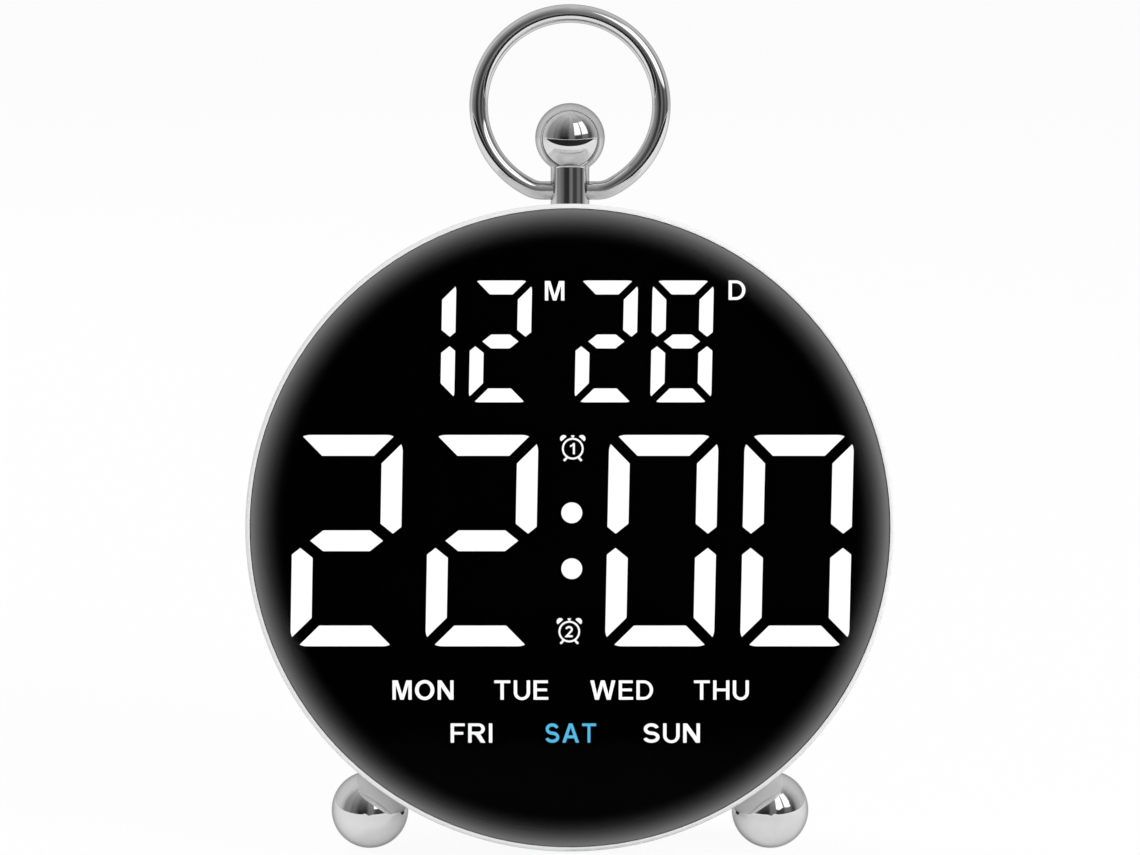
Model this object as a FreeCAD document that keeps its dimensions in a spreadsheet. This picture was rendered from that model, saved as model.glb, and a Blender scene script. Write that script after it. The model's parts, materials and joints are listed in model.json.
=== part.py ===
import FreeCAD, Part
import math
import os
import re
import Sketcher

Vector = FreeCAD.Vector
Placement = FreeCAD.Placement
Rotation = FreeCAD.Rotation

# Round desk alarm clock with a light bar display, two ball feet and a ring
# handle. All sizes are millimetres and degrees in the case's own frame:
# X to the right, Y from the rim's front plane towards the back, Z up, and the
# case's axis along Y. At the end every piece is leaned back and set down so
# that the clock stands on its feet on the plane Z = 0.

SIZES = {
    # How far a cutting shape runs past a face, and a raised one starts inside a wall
    "cut_margin": 1.0,
    "root_lap": 0.1,
    # Stance
    "lean": 6.0,
    # Case body: a drum with a proud rim round the lens
    "rim_radius": 55.0,
    "rim_depth": 4.6,
    "rim_round": 0.5,
    "rim_step": 0.8,
    "rim_proud": 0.8,
    "drum_wall": 2.0,
    "drum_end": 31.0,
    # Lens
    "rim_wall": 0.78,
    "lens_fit": 0.12,
    "lens_back": 3.0,
    "lens_rise": 2.6,
    "lens_crown": 0.8,
    "lens_shoulder": 5.9,
    "lens_edge": 0.4,
    "lens_edge_round": 9.9,
    "lens_wall": 2.0,
    "lens_ledge": 3.7,
    "adhesive_thick": 0.25,
    # Display stack behind the lens
    "module_fit": 0.3,
    "film_thick": 0.2,
    "film_lap": 0.12,
    "reflector_depth": 7.0,
    "bar_depth": 1.2,
    "bar_fit": 0.06,
    "board_thick": 1.6,
    "chip_long": 1.6,
    "chip_high": 0.8,
    # Light bars
    "display_middle": 0.3,
    "slant": 0.02,
    "tip_share": 0.41,
    "tip_slope": 0.8,
    "time_wide": 18.8,
    "time_tall": 36.3,
    "time_stroke": 3.8,
    "time_mitre": 1.14,
    "time_gap": 1.06,
    "time_tip": 3.0,
    "time_round": 2.8,
    "time_pitch": 23.0,
    "time_inner": 15.3,
    "time_level": -2.2,
    "date_wide": 10.6,
    "date_tall": 20.9,
    "date_stroke": 2.6,
    "date_mitre": 0.72,
    "date_gap": 0.66,
    "date_tip": 2.05,
    "date_round": 1.7,
    "date_pitch": 12.84,
    "month_place": -11.8,
    "day_place": 19.0,
    "date_level": 31.7,
    # Dots, signs, letters and weekday windows
    "dot_radius": 1.9,
    "dot_spacing": 9.54,
    "sign_radius": 2.5,
    "sign_reach": 15.6,
    "letter_wide": 3.6,
    "letter_tall": 4.0,
    "month_letter": -2.6,
    "day_letter": 28.3,
    "letter_level": 40.35,
    "weekday_wide": 11.4,
    "weekday_tall": 4.4,
    "weekday_pitch": 16.95,
    "upper_week": -27.9,
    "lower_week": -35.2,
    # Bosses and screws that hold the display board and the back cover
    "boss_inset": 4.7,
    "boss_radius": 3.2,
    "boss_web": 3.0,
    "boss_joint": 0.1,
    "pilot_radius": 1.3,
    "pilot_deep": 9.0,
    "screw_radius": 1.25,
    "screw_gap": 0.25,
    "screw_head": 2.5,
    "screw_head_high": 1.6,
    "screw_head_top": 1.75,
    "screw_head_edge": 0.9,
    "cross_reach": 1.55,
    "cross_half": 0.35,
    "cross_deep": 1.1,
    "screw_end_gap": 0.3,
    "case_screw_long": 9.0,
    "board_screw_long": 6.0,
    "notch_gap": 0.7,
    # Back cover
    "cover_face": 34.0,
    "cover_wall": 2.2,
    "cover_round": 2.6,
    "spigot_gap": 0.2,
    "spigot_wall": 1.4,
    "spigot_deep": 2.5,
    "screw_pad_radius": 4.0,
    "screw_sink": 2.4,
    # Stud fixings of the post and the feet
    "spot_deep": 0.2,
    "spot_radius": 4.4,
    "inner_pad_radius": 4.2,
    "inner_pad_rise": 1.0,
    "stud_radius": 1.5,
    "stud_gap": 0.1,
    "stud_spare": 0.9,
    "washer_radius": 3.5,
    "washer_thick": 0.6,
    "nut_flats": 5.5,
    "nut_high": 2.4,
    # Handle post and its ball
    "post_depth": 17.0,
    "stem_radius": 3.35,
    "post_ball": 6.03,
    "post_ball_rise": 12.36,
    "post_fillet": 0.4,
    # Ring handle
    "pivot_rise": 3.3,
    "ring_wire": 1.6,
    "ring_radius": 15.8,
    "ring_lift": 14.7,
    "ring_bend": 5.0,
    "ring_end": 0.9,
    "ring_hole_gap": 0.05,
    # Ball feet
    "foot_depth": 16.4,
    "foot_angle": 34.76,
    "foot_stand": 7.0,
    "foot_ball": 6.69,
    "foot_neck": 3.0,
    # Rear rest pad
    "rest_front": 23.5,
    "rest_long": 6.5,
    "rest_wide": 17.0,
    "rest_recess": 1.0,
    "rest_gap": 0.1,
    # Speaker
    "speaker_level": 27.0,
    "speaker_radius": 14.2,
    "speaker_deep": 4.6,
    "speaker_flange": 0.8,
    "speaker_wall": 0.6,
    "speaker_gasket": 0.6,
    "speaker_fence": 1.3,
    "speaker_fence_high": 3.8,
    "speaker_gap": 0.3,
    "cone_radius": 12.0,
    "cone_eye": 5.0,
    "cone_deep": 3.45,
    "cone_thick": 0.45,
    "cone_dome": 0.9,
    "cone_lip": 0.5,
    "cone_gap": 0.1,
    "magnet_radius": 6.5,
    "magnet_deep": 3.0,
    "magnet_bevel": 0.4,
    "basket_throat": 1.0,
    "grille_hole": 0.8,
    "grille_pitch": 3.0,
    # Setting buttons and their board
    "button_pitch": 13.0,
    "button_level": 4.0,
    "button_radius": 3.5,
    "button_rise": 1.2,
    "button_gap": 0.2,
    "button_round": 0.5,
    "button_flange": 0.8,
    "flange_thick": 1.0,
    "flange_gap": 0.1,
    "button_travel": 0.6,
    "travel_gap": 0.2,
    "plunger_radius": 1.7,
    "plunger_gap": 0.3,
    "switch_wide": 6.0,
    "key_board_back": 27.0,
    "key_board_left": -31.5,
    "key_board_right": 44.5,
    "key_board_tall": 13.4,
    "post_place": 19.5,
    "key_post_radius": 1.9,
    "key_screw_radius": 0.75,
    "key_screw_head": 1.6,
    "key_screw_long": 5.0,
    "key_head_high": 1.1,
    "key_slot_wide": 0.5,
    "key_slot_deep": 0.5,
    "key_slot_end": 0.5,
    "key_pilot_gap": 0.05,
    "key_hole_gap": 0.15,
    "switch_floor": 0.4,
    # Power socket
    "socket_place": 38.5,
    "socket_wide": 8.9,
    "socket_tall": 3.2,
    "socket_wall": 0.3,
    "socket_long": 6.5,
    "socket_gap": 0.3,
    "socket_floor": 0.8,
    "tongue_wide": 6.6,
    "tongue_thick": 0.7,
    "tongue_long": 5.0,
    # Battery well, cells and door
    "well_level": -23.5,
    "cell_radius": 5.25,
    "cell_long": 43.3,
    "cell_nub": 1.0,
    "cell_nub_radius": 1.9,
    "cell_pitch": 11.0,
    "cell_gap": 0.1,
    "contact_space": 2.2,
    "contact_thick": 0.4,
    "contact_wide": 8.0,
    "door_thick": 1.9,
    "door_lap": 1.3,
    "door_gap": 0.15,
    "door_rest_gap": 0.1,
    "door_pin": 0.6,
    "door_pin_long": 1.0,
    "door_pin_gap": 0.06,
    "well_wall": 1.3,
    "well_floor": 1.2,
    "notch_wide": 14.0,
    "notch_tall": 2.4,
    "notch_deep": 1.2,
    # Ribbon cable, its plugs and the parts on the display board
    "plug_wide": 12.0,
    "plug_tall": 3.0,
    "plug_high": 2.2,
    "ribbon_wide": 10.0,
    "ribbon_thick": 0.5,
    "ribbon_bow": 1.5,
    "chip_wide": 10.0,
    "chip_tall": 6.2,
    "chip_thick": 1.5,
    "chip_level": -12.0,
    "chip_side": 14.0,
    "leg_pitch": 1.2,
    "leg_wide": 0.5,
    "leg_thick": 0.4,
    "leg_reach": 1.0,
    "crystal_radius": 1.0,
    "crystal_long": 6.0,
}

# Sizes that follow others, by the name that formulas call them
FOLLOWING = {
    "drum_radius": "(rim_radius - rim_proud)",
    "lens_radius": "(rim_radius - rim_wall - lens_fit)",
    "boss_ring": "(drum_radius - drum_wall - boss_inset)",
    "foot_reach": "(drum_radius + foot_stand)",
    "post_ball_level": "(drum_radius + post_ball_rise)",
    "pivot_level": "(drum_radius + pivot_rise)",
}

# Counts of pieces and holes
CHIP_LEGS = 8
GRILLE_RINGS = 3
CELLS = 3

# Formulas that several pieces share
DRUM_INNER = "(drum_radius - drum_wall)"
MODULE_RADIUS = f"({DRUM_INNER} - module_fit)"
LENS_SEAT = "(lens_back + adhesive_thick)"
FILM_BACK = "(lens_back + film_thick)"
BOARD_FRONT = f"({FILM_BACK} + reflector_depth)"
BOARD_BACK = f"({BOARD_FRONT} + board_thick)"
BOSS_END = "(drum_end - spigot_deep - boss_joint)"
COVER_INNER = "(cover_face - cover_wall)"
SEAT_RADIUS = "(drum_radius - spot_deep)"
PAD_RADIUS = f"({DRUM_INNER} - inner_pad_rise)"
STUD_LONG = "(drum_wall - spot_deep + inner_pad_rise + washer_thick + nut_high + stud_spare)"
STAND = "(foot_ball + foot_reach * cos(foot_angle) * cos(lean) + foot_depth * sin(lean))"
CELL_AXIS = "(cover_face - door_thick - door_rest_gap - cell_gap - cell_radius)"
WELL_WIDE = "(cell_long + cell_nub + 2 * contact_space)"
WELL_TALL = f"({CELLS} * cell_pitch + 4 * cell_gap)"
DOOR_WIDE = f"({WELL_WIDE} + 2 * door_lap)"
DOOR_TALL = f"({WELL_TALL} + 2 * door_lap)"
DOOR_BACK = "(cover_face - door_thick)"
DOOR_PIVOT_DEPTH = "(cover_face - door_thick / 2)"
DOOR_PIVOT_LEVEL = f"(well_level - {DOOR_TALL} / 2 + door_thick / 2)"
BUTTON_SEAT = f"({COVER_INNER} - flange_gap)"
FLANGE_FRONT = f"({BUTTON_SEAT} - flange_thick)"
PLUNGER_END = "(key_board_back + switch_floor + button_travel + travel_gap)"
SWITCH_HIGH = f"({FLANGE_FRONT} - button_travel - travel_gap - key_board_back)"
KEY_BOARD_FRONT = "(key_board_back - board_thick)"
SPEAKER_BACK = f"({COVER_INNER} - speaker_gasket)"
WELL_FRONT = f"({CELL_AXIS} - cell_radius - cell_gap)"


doc = FreeCAD.newDocument("desk_alarm_clock")
sheet = doc.addObject("Spreadsheet::Sheet", "sizes")
for row, (alias, number) in enumerate(SIZES.items(), start=1):
    sheet.set(f"A{row}", alias)
    sheet.set(f"B{row}", str(number))
    sheet.setAlias(f"B{row}", alias)
doc.recompute()

subparts = []


def terms(formula):
    """The formula with following sizes worked out and the sheet's name before each alias."""
    def written_out(word):
        name = word.group()
        if name in FOLLOWING:
            return terms(FOLLOWING[name])
        return "sizes." + name if name in SIZES else name
    return re.sub(r"[a-z][a-z_0-9]*", written_out, str(formula))


def value(formula):
    """The number that a formula gives with the sheet's present sizes."""
    return float(sheet.evalExpression(terms(formula)))


def bind(item, setting, formula):
    """Tie one setting of a document object to a formula of the sheet."""
    item.setExpression(setting, terms(formula))


def keep(item, label=None, local=None):
    """Note a finished sub-part, with its own place in the case's frame."""
    if label:
        item.Label = label
    subparts.append((item, local or Placement()))
    return item


# Sketches and solid features

def new_body(name):
    """An empty body for one sub-part."""
    return doc.addObject("PartDesign::Body", name)


def sketch_on(body, role, name, away=None, across=None, turn=None):
    """A sketch on an origin plane of its body, moved off it by formulas."""
    sketch = body.newObject("Sketcher::SketchObject", name)
    plane = [item for item in body.Origin.OriginFeatures if item.Role == role][0]
    sketch.AttachmentSupport = [(plane, "")]
    sketch.MapMode = "FlatFace"
    if turn is not None:
        sketch.AttachmentOffset = Placement(Vector(), turn)
    if across is not None:
        bind(sketch, "AttachmentOffset.Base.x", across)
    if away is not None:
        bind(sketch, "AttachmentOffset.Base.z", away)
    return sketch


def pin(sketch, shape, point, across, up):
    """Hold a point of a sketch shape at two formulas."""
    for kind, formula in (("DistanceX", across), ("DistanceY", up)):
        held = sketch.addConstraint(Sketcher.Constraint(kind, -1, 1, shape, point, value(formula)))
        bind(sketch, f"Constraints[{held}]", formula)


def hold_radius(sketch, shape, formula):
    """Hold the radius of a circle or an arc at a formula."""
    held = sketch.addConstraint(Sketcher.Constraint("Radius", shape, value(formula)))
    bind(sketch, f"Constraints[{held}]", formula)


def circle(sketch, across, up, radius):
    """A circle held by formulas."""
    centre = Vector(value(across), value(up), 0)
    shape = sketch.addGeometry(Part.Circle(centre, Vector(0, 0, 1), value(radius)))
    pin(sketch, shape, 3, across, up)
    hold_radius(sketch, shape, radius)


def arc_between(start, end, radius, side):
    """The smaller arc from start to end, bulging to the left (1) or right (-1)."""
    chord = end - start
    left = Vector(-chord.y, chord.x, 0).normalize()
    drop = math.sqrt(max(radius ** 2 - (chord.Length / 2) ** 2, 0))
    centre = (start + end) * 0.5 - left * side * drop
    first, last = (end, start) if side > 0 else (start, end)
    angles = [math.atan2((point - centre).y, (point - centre).x) for point in (first, last)]
    ring = Part.Circle(centre, Vector(0, 0, 1), radius)
    if angles[1] <= angles[0]:
        angles[1] += 2 * math.pi
    return Part.ArcOfCircle(ring, *angles)


def outline(sketch, corners, arcs=None, closed=True):
    """Lines and arcs through corners that formulas hold.

    arcs gives, for the stretch that starts at a corner's number, its radius
    formula and the side it bulges to.
    """
    arcs = arcs or {}
    places = [Vector(value(across), value(up), 0) for across, up in corners]
    stretches = len(corners) if closed else len(corners) - 1
    ends = []
    for number in range(stretches):
        start, end = places[number], places[(number + 1) % len(corners)]
        if number in arcs:
            radius, side = arcs[number]
            shape = sketch.addGeometry(arc_between(start, end, value(radius), side))
            ends.append((shape, 2, 1) if side > 0 else (shape, 1, 2))
        else:
            shape = sketch.addGeometry(Part.LineSegment(start, end))
            ends.append((shape, 1, 2))
    for number, (shape, start, end) in enumerate(ends):
        pin(sketch, shape, start, *corners[number])
        if number + 1 < stretches or closed:
            follower = ends[(number + 1) % stretches]
            sketch.addConstraint(Sketcher.Constraint("Coincident", shape, end, follower[0], follower[1]))
        else:
            pin(sketch, shape, end, *corners[-1])
        if number in arcs:
            hold_radius(sketch, shape, arcs[number][0])


def rectangle(sketch, left, low, right, high):
    """An upright rectangle held by formulas."""
    outline(sketch, [(left, low), (right, low), (right, high), (left, high)])


def turned(body, name, corners, arcs=None, across=None):
    """Turn a profile of (radius, depth) corners about a line along Y."""
    profile = sketch_on(body, "XY_Plane", name + "_profile", across=across)
    outline(profile, corners, arcs)
    turn = body.newObject("PartDesign::Revolution", name)
    turn.Profile = profile
    turn.ReferenceAxis = (profile, ["V_Axis"])
    turn.Angle = 360
    doc.recompute()
    return turn


def raised(body, name, sketch, length, other_way=False):
    """Raise a pad from a sketch along its normal, or the other way."""
    feature = body.newObject("PartDesign::Pad", name)
    feature.Profile = sketch
    bind(feature, "Length", length)
    feature.Reversed = other_way
    doc.recompute()
    return feature


def sunk(body, name, sketch, length, other_way=False):
    """Sink a pocket against a sketch's normal, or along it, and see that it cuts."""
    before = body.Shape.Volume
    feature = body.newObject("PartDesign::Pocket", name)
    feature.Profile = sketch
    bind(feature, "Length", length)
    feature.Reversed = other_way
    doc.recompute()
    if body.Shape.Volume >= before:
        raise RuntimeError(f"pocket {name} cuts nothing")
    return feature


DIAGONAL = Rotation(Vector(0, 0, 1), 45)


def face_sketch(body, name, depth, turn=None):
    """A sketch facing the front, at a depth behind the rim's front plane."""
    return sketch_on(body, "XZ_Plane", name, away=f"-({depth})", turn=turn)


def ringed(body, name, feature, count):
    """Repeat a feature evenly round the case's axis."""
    pattern = body.newObject("PartDesign::PolarPattern", name)
    pattern.Originals = [feature]
    axis = [item for item in body.Origin.OriginFeatures if item.Role == "Y_Axis"][0]
    pattern.Axis = (axis, [""])
    pattern.Angle = 360
    pattern.Occurrences = count
    body.Tip = pattern
    doc.recompute()
    return pattern


def mirrored(body, name, features):
    """Repeat features on the other side of the case's middle plane."""
    mirror = body.newObject("PartDesign::Mirrored", name)
    mirror.Originals = features
    plane = [item for item in body.Origin.OriginFeatures if item.Role == "YZ_Plane"][0]
    mirror.MirrorPlane = (plane, [""])
    body.Tip = mirror
    doc.recompute()
    return mirror


# Plain solids

BACKWARD = Rotation(Vector(1, 0, 0), -90)
SIDEWAYS = Rotation(Vector(0, 1, 0), 90)


def placed(item, across, depth, up):
    """Tie the place of a plain solid to formulas."""
    bind(item, "Placement.Base.x", across)
    bind(item, "Placement.Base.y", depth)
    bind(item, "Placement.Base.z", up)
    return item


def rod(name, radius, length, across, depth, up, heading=BACKWARD):
    """A round bar that starts at a place and runs along its heading."""
    item = doc.addObject("Part::Cylinder", name)
    bind(item, "Radius", radius)
    bind(item, "Height", length)
    item.Placement = Placement(Vector(), heading)
    return placed(item, across, depth, up)


def block(name, wide, long, tall, middle, depth, level):
    """A block centred on middle and level whose front face is at a depth."""
    item = doc.addObject("Part::Box", name)
    bind(item, "Length", wide)
    bind(item, "Width", long)
    bind(item, "Height", tall)
    return placed(item, f"{middle} - ({wide}) / 2", depth, f"{level} - ({tall}) / 2")


def joined(name, items):
    """Fuse plain solids into one."""
    item = doc.addObject("Part::MultiFuse", name)
    item.Shapes = items
    return item


def cut_from(name, base, tool):
    """Cut one solid out of another."""
    item = doc.addObject("Part::Cut", name)
    item.Base = base
    item.Tool = tool
    return item


def group(name, items):
    """Keep several separate solids together under one name."""
    item = doc.addObject("Part::Compound", name)
    item.Links = items
    return item


# Case body

def make_case_body():
    """The drum with its rim, bosses, fixing holes and rest recess."""
    body = new_body("case_body")
    pocket = "(lens_radius + lens_fit)"
    turned(body, "drum", [
        (pocket, "0"),
        ("rim_radius - rim_round", "0"),
        ("rim_radius", "rim_round"),
        ("rim_radius", "rim_depth"),
        ("drum_radius", "rim_depth + rim_step"),
        ("drum_radius", "drum_end"),
        (DRUM_INNER, "drum_end"),
        (DRUM_INNER, LENS_SEAT),
        (pocket, LENS_SEAT),
    ], arcs={1: ("rim_round", -1)})

    boss = face_sketch(body, "boss_plan", BOARD_BACK, DIAGONAL)
    flank = "(sqrt(boss_radius * boss_radius - boss_web * boss_web / 4))"
    outline(boss, [
        (f"boss_ring + {flank}", "-boss_web / 2"),
        (f"{DRUM_INNER} + drum_wall / 2", "-boss_web / 2"),
        (f"{DRUM_INNER} + drum_wall / 2", "boss_web / 2"),
        (f"boss_ring + {flank}", "boss_web / 2"),
        ("boss_ring", "boss_radius"),
        ("boss_ring - boss_radius", "0"),
        ("boss_ring", "-boss_radius"),
    ], arcs={number: ("boss_radius", -1) for number in (3, 4, 5, 6)})
    boss_pad = raised(body, "boss", boss, f"{BOSS_END} - {BOARD_BACK}", other_way=True)
    ringed(body, "bosses", boss_pad, 4)
    for name, depth, other_way in (("board_pilot", BOARD_BACK, False), ("cover_pilot", BOSS_END, True)):
        plan = face_sketch(body, name + "_plan", depth, DIAGONAL)
        circle(plan, "boss_ring", "0", "pilot_radius")
        hole = sunk(body, name, plan, "pilot_deep" if other_way else "board_screw_long", other_way)
        ringed(body, name + "s", hole, 4)

    stud_hole = "stud_radius + stud_gap"
    post_pad = sketch_on(body, "XY_Plane", "post_pad_plan", away=PAD_RADIUS)
    circle(post_pad, "0", "post_depth", "inner_pad_radius")
    raised(body, "post_pad", post_pad, "inner_pad_rise + drum_wall / 2")
    clear = "(drum_radius + cut_margin)"
    post_hole = sketch_on(body, "XY_Plane", "post_hole_plan", away=clear)
    circle(post_hole, "0", "post_depth", stud_hole)
    sunk(body, "post_hole", post_hole, f"{clear} - {PAD_RADIUS} + cut_margin")
    post_spot = sketch_on(body, "XY_Plane", "post_spot_plan", away=clear)
    circle(post_spot, "0", "post_depth", "spot_radius")
    sunk(body, "post_spot", post_spot, f"{clear} - {SEAT_RADIUS}")

    features = []
    for name, away, radius, length in (
        ("foot_pad", PAD_RADIUS, "inner_pad_radius", "inner_pad_rise + drum_wall / 2"),
        ("foot_hole", clear, stud_hole, f"{clear} - {PAD_RADIUS} + cut_margin"),
        ("foot_spot", clear, "spot_radius", f"{clear} - {SEAT_RADIUS}"),
    ):
        plan = sketch_on(body, "XY_Plane", name + "_plan")
        bind(plan, "AttachmentOffset.Rotation.Axis.y", "1")
        bind(plan, "AttachmentOffset.Rotation.Axis.z", "0")
        bind(plan, "AttachmentOffset.Rotation.Angle", "180 - foot_angle")
        bind(plan, "AttachmentOffset.Base.x", f"({away}) * sin(foot_angle)")
        bind(plan, "AttachmentOffset.Base.z", f"-({away}) * cos(foot_angle)")
        circle(plan, "0", "foot_depth", radius)
        make = raised if name == "foot_pad" else sunk
        features.append(make(body, name, plan, length))
    mirrored(body, "other_foot_fixing", features)

    recess = sketch_on(body, "XY_Plane", "rest_recess_plan", away="-(drum_radius - rest_recess)")
    half = "(rest_wide / 2 + rest_gap)"
    rectangle(recess, f"-{half}", "rest_front - rest_gap", half, "rest_front + rest_long + rest_gap")
    sunk(body, "rest_recess_pocket", recess, "rest_recess + cut_margin")
    return keep(body)


# Lens and adhesive

def make_lens():
    """The domed window with its curved edge and rear ledge."""
    body = new_body("lens")
    shoulder = "(lens_radius - lens_shoulder)"
    crown = f"(({shoulder} * {shoulder} + lens_crown * lens_crown) / (2 * lens_crown))"
    hollow = f"({shoulder} - lens_wall)"
    hollow_crown = f"(({hollow} * {hollow} + lens_crown * lens_crown) / (2 * lens_crown))"
    turned(body, "window", [
        ("0", "-lens_rise"),
        (shoulder, "lens_crown - lens_rise"),
        ("lens_radius", "lens_edge"),
        ("lens_radius", "lens_back"),
        ("lens_radius - lens_ledge", "lens_back"),
        (hollow, "lens_crown - lens_rise + lens_wall"),
        ("0", "lens_wall - lens_rise"),
    ], arcs={
        0: (crown, -1),
        1: ("lens_edge_round", -1),
        5: (hollow_crown, 1),
    })
    return keep(body)


def make_lens_adhesive():
    """The flat ring of tape between the lens ledge and the drum's end."""
    body = new_body("lens_adhesive")
    inner = f"({DRUM_INNER} + adhesive_thick)"
    outer = "(lens_radius - adhesive_thick)"
    turned(body, "tape", [
        (inner, "lens_back"),
        (outer, "lens_back"),
        (outer, LENS_SEAT),
        (inner, LENS_SEAT),
    ])
    return keep(body)


# Light bars

class FigureShape:
    """The seven bars of a figure of one size, as faces about its own middle."""

    def __init__(self, kind):
        self.wide = value(kind + "_wide")
        self.tall = value(kind + "_tall")
        self.stroke = value(kind + "_stroke")
        self.mitre = value(kind + "_mitre")
        self.gap = value(kind + "_gap")
        self.tip = value(kind + "_tip")
        self.round = value(kind + "_round")
        self.drawn = {}

    def corners(self, letter):
        """Corner points of one bar."""
        half_wide, half_tall = self.wide / 2, self.tall / 2
        tip_slope = value("tip_slope")
        tip = value("tip_share") * self.stroke
        if letter in "ad":
            inner = half_wide - self.mitre - self.stroke
            points = [(self.mitre - half_wide, half_tall), (half_wide - self.mitre, half_tall),
                      (inner, half_tall - self.stroke), (-inner, half_tall - self.stroke)]
        elif letter == "g":
            side = half_wide - self.tip
            flat = side - self.stroke / 2 / tip_slope
            points = [(-side, 0), (-flat, self.stroke / 2), (flat, self.stroke / 2),
                      (side, 0), (flat, -self.stroke / 2), (-flat, -self.stroke / 2)]
        else:
            points = [(-half_wide, half_tall - self.mitre),
                      (self.stroke - half_wide, half_tall - self.mitre - self.stroke),
                      (self.stroke - half_wide, self.gap + (self.stroke - tip) * tip_slope),
                      (tip - half_wide, self.gap),
                      (-half_wide, self.gap + tip * tip_slope)]
        across = -1 if letter in "bc" else 1
        up = -1 if letter in "cde" else 1
        return [(x * across, z * up) for x, z in points]

    def set_out(self, x, z):
        """A point of the figure with its slant."""
        return Vector(x + z * value("slant"), 0, z)

    def frame(self, shrink):
        """The face whose rounded corners round the bars' outer corners."""
        across, up, bend = self.wide / 2 - shrink, self.tall / 2 - shrink, self.round
        crest = bend * (1 - math.sqrt(0.5))
        arcs = []
        for side, top in ((1, 1), (1, -1), (-1, -1), (-1, 1)):
            ends = [(side * (across - bend), top * up), (side * across, top * (up - bend))]
            if side != top:
                ends.reverse()
            middle = (side * (across - crest), top * (up - crest))
            arcs.append(Part.Arc(*[self.set_out(*point) for point in (ends[0], middle, ends[1])]).toShape())
        edges = []
        for number, arc in enumerate(arcs):
            follower = arcs[(number + 1) % 4]
            edges.append(arc)
            edges.append(Part.LineSegment(arc.lastVertex().Point, follower.firstVertex().Point).toShape())
        return Part.Face(Part.Wire(edges))

    def faces(self, shrink):
        """The bars by letter, each smaller all round by shrink."""
        if shrink not in self.drawn:
            outer = self.frame(shrink)
            self.drawn[shrink] = {}
            for letter in "abcdefg":
                points = [self.set_out(x, z) for x, z in self.corners(letter)]
                face = Part.Face(Part.makePolygon(points + points[:1]))
                if shrink:
                    face = face.makeOffset2D(-shrink)
                self.drawn[shrink][letter] = face.common(outer).Faces[0]
        return self.drawn[shrink]


FIGURES = {kind: FigureShape(kind) for kind in ("time", "date")}


class Digit:
    """One figure of the display: its kind, its place and the bars that it has."""

    def __init__(self, kind, middle, level, letters="abcdefg"):
        self.figure = FIGURES[kind]
        self.place = Vector(value(middle), 0, value(level))
        self.letters = letters

    def bars(self, shrink, depth, length):
        """The figure's bars as solids that run back from a depth."""
        faces = self.figure.faces(shrink)
        start = self.place + Vector(0, depth, 0)
        return [faces[letter].translated(start).extrude(Vector(0, length, 0)) for letter in self.letters]


def round_windows(places, radius, depth, length):
    """Round windows as solids that run back from a depth."""
    return [Part.makeCylinder(radius, length, Vector(x, depth, z), Vector(0, 1, 0)) for x, z in places]


def square_windows(places, wide, tall, depth, length):
    """Rectangular windows as solids that run back from a depth."""
    return [Part.makeBox(wide, length, tall, Vector(x - wide / 2, depth, z - tall / 2)) for x, z in places]


DIGITS = {
    "hours_tens_bars": Digit("time", "display_middle - time_inner - time_pitch", "time_level"),
    "hours_units_bars": Digit("time", "display_middle - time_inner", "time_level"),
    "minutes_tens_bars": Digit("time", "display_middle + time_inner", "time_level"),
    "minutes_units_bars": Digit("time", "display_middle + time_inner + time_pitch", "time_level"),
    "month_tens_bars": Digit("date", "month_place - date_pitch", "date_level", "bc"),
    "month_units_bars": Digit("date", "month_place", "date_level"),
    "day_tens_bars": Digit("date", "day_place - date_pitch", "date_level"),
    "day_units_bars": Digit("date", "day_place", "date_level"),
}


def column(*formulas):
    """Places on the display's middle line at several heights."""
    return [(value("display_middle"), value(formula)) for formula in formulas]


def week_row(count, level):
    """Places of one row of weekday windows."""
    first = f"display_middle - {(count - 1) / 2} * weekday_pitch"
    return [(value(f"{first} + {number} * weekday_pitch"), value(level)) for number in range(count)]


WEEK_PLACES = week_row(4, "upper_week") + week_row(3, "lower_week")
LETTER_PLACES = [(value(place), value("letter_level")) for place in ("month_letter", "day_letter")]


def window_solids(shrink, depth, length):
    """Every light window of the display, by the name of its insert."""
    windows = {name: digit.bars(shrink, depth, length) for name, digit in DIGITS.items()}
    dots = column("time_level + dot_spacing / 2", "time_level - dot_spacing / 2")
    signs = column("time_level + sign_reach", "time_level - sign_reach")
    windows["colon_dots"] = round_windows(dots, value("dot_radius") - shrink, depth, length)
    windows["alarm_sign_windows"] = round_windows(signs, value("sign_radius") - shrink, depth, length)
    for kind, places in (("letter", LETTER_PLACES), ("weekday", WEEK_PLACES)):
        wide, tall = value(kind + "_wide") - 2 * shrink, value(kind + "_tall") - 2 * shrink
        windows[kind + "_windows"] = square_windows(places, wide, tall, depth, length)
    return windows


def all_windows(name, shrink, depth, length):
    """One tool that cuts every light window through a layer."""
    tool = doc.addObject("Part::Feature", name)
    start, run = value(f"{depth} - cut_margin"), value(f"{length} + 2 * cut_margin")
    groups = window_solids(shrink, start, run).values()
    tool.Shape = Part.makeCompound([solid for solids in groups for solid in solids])
    return tool


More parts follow.
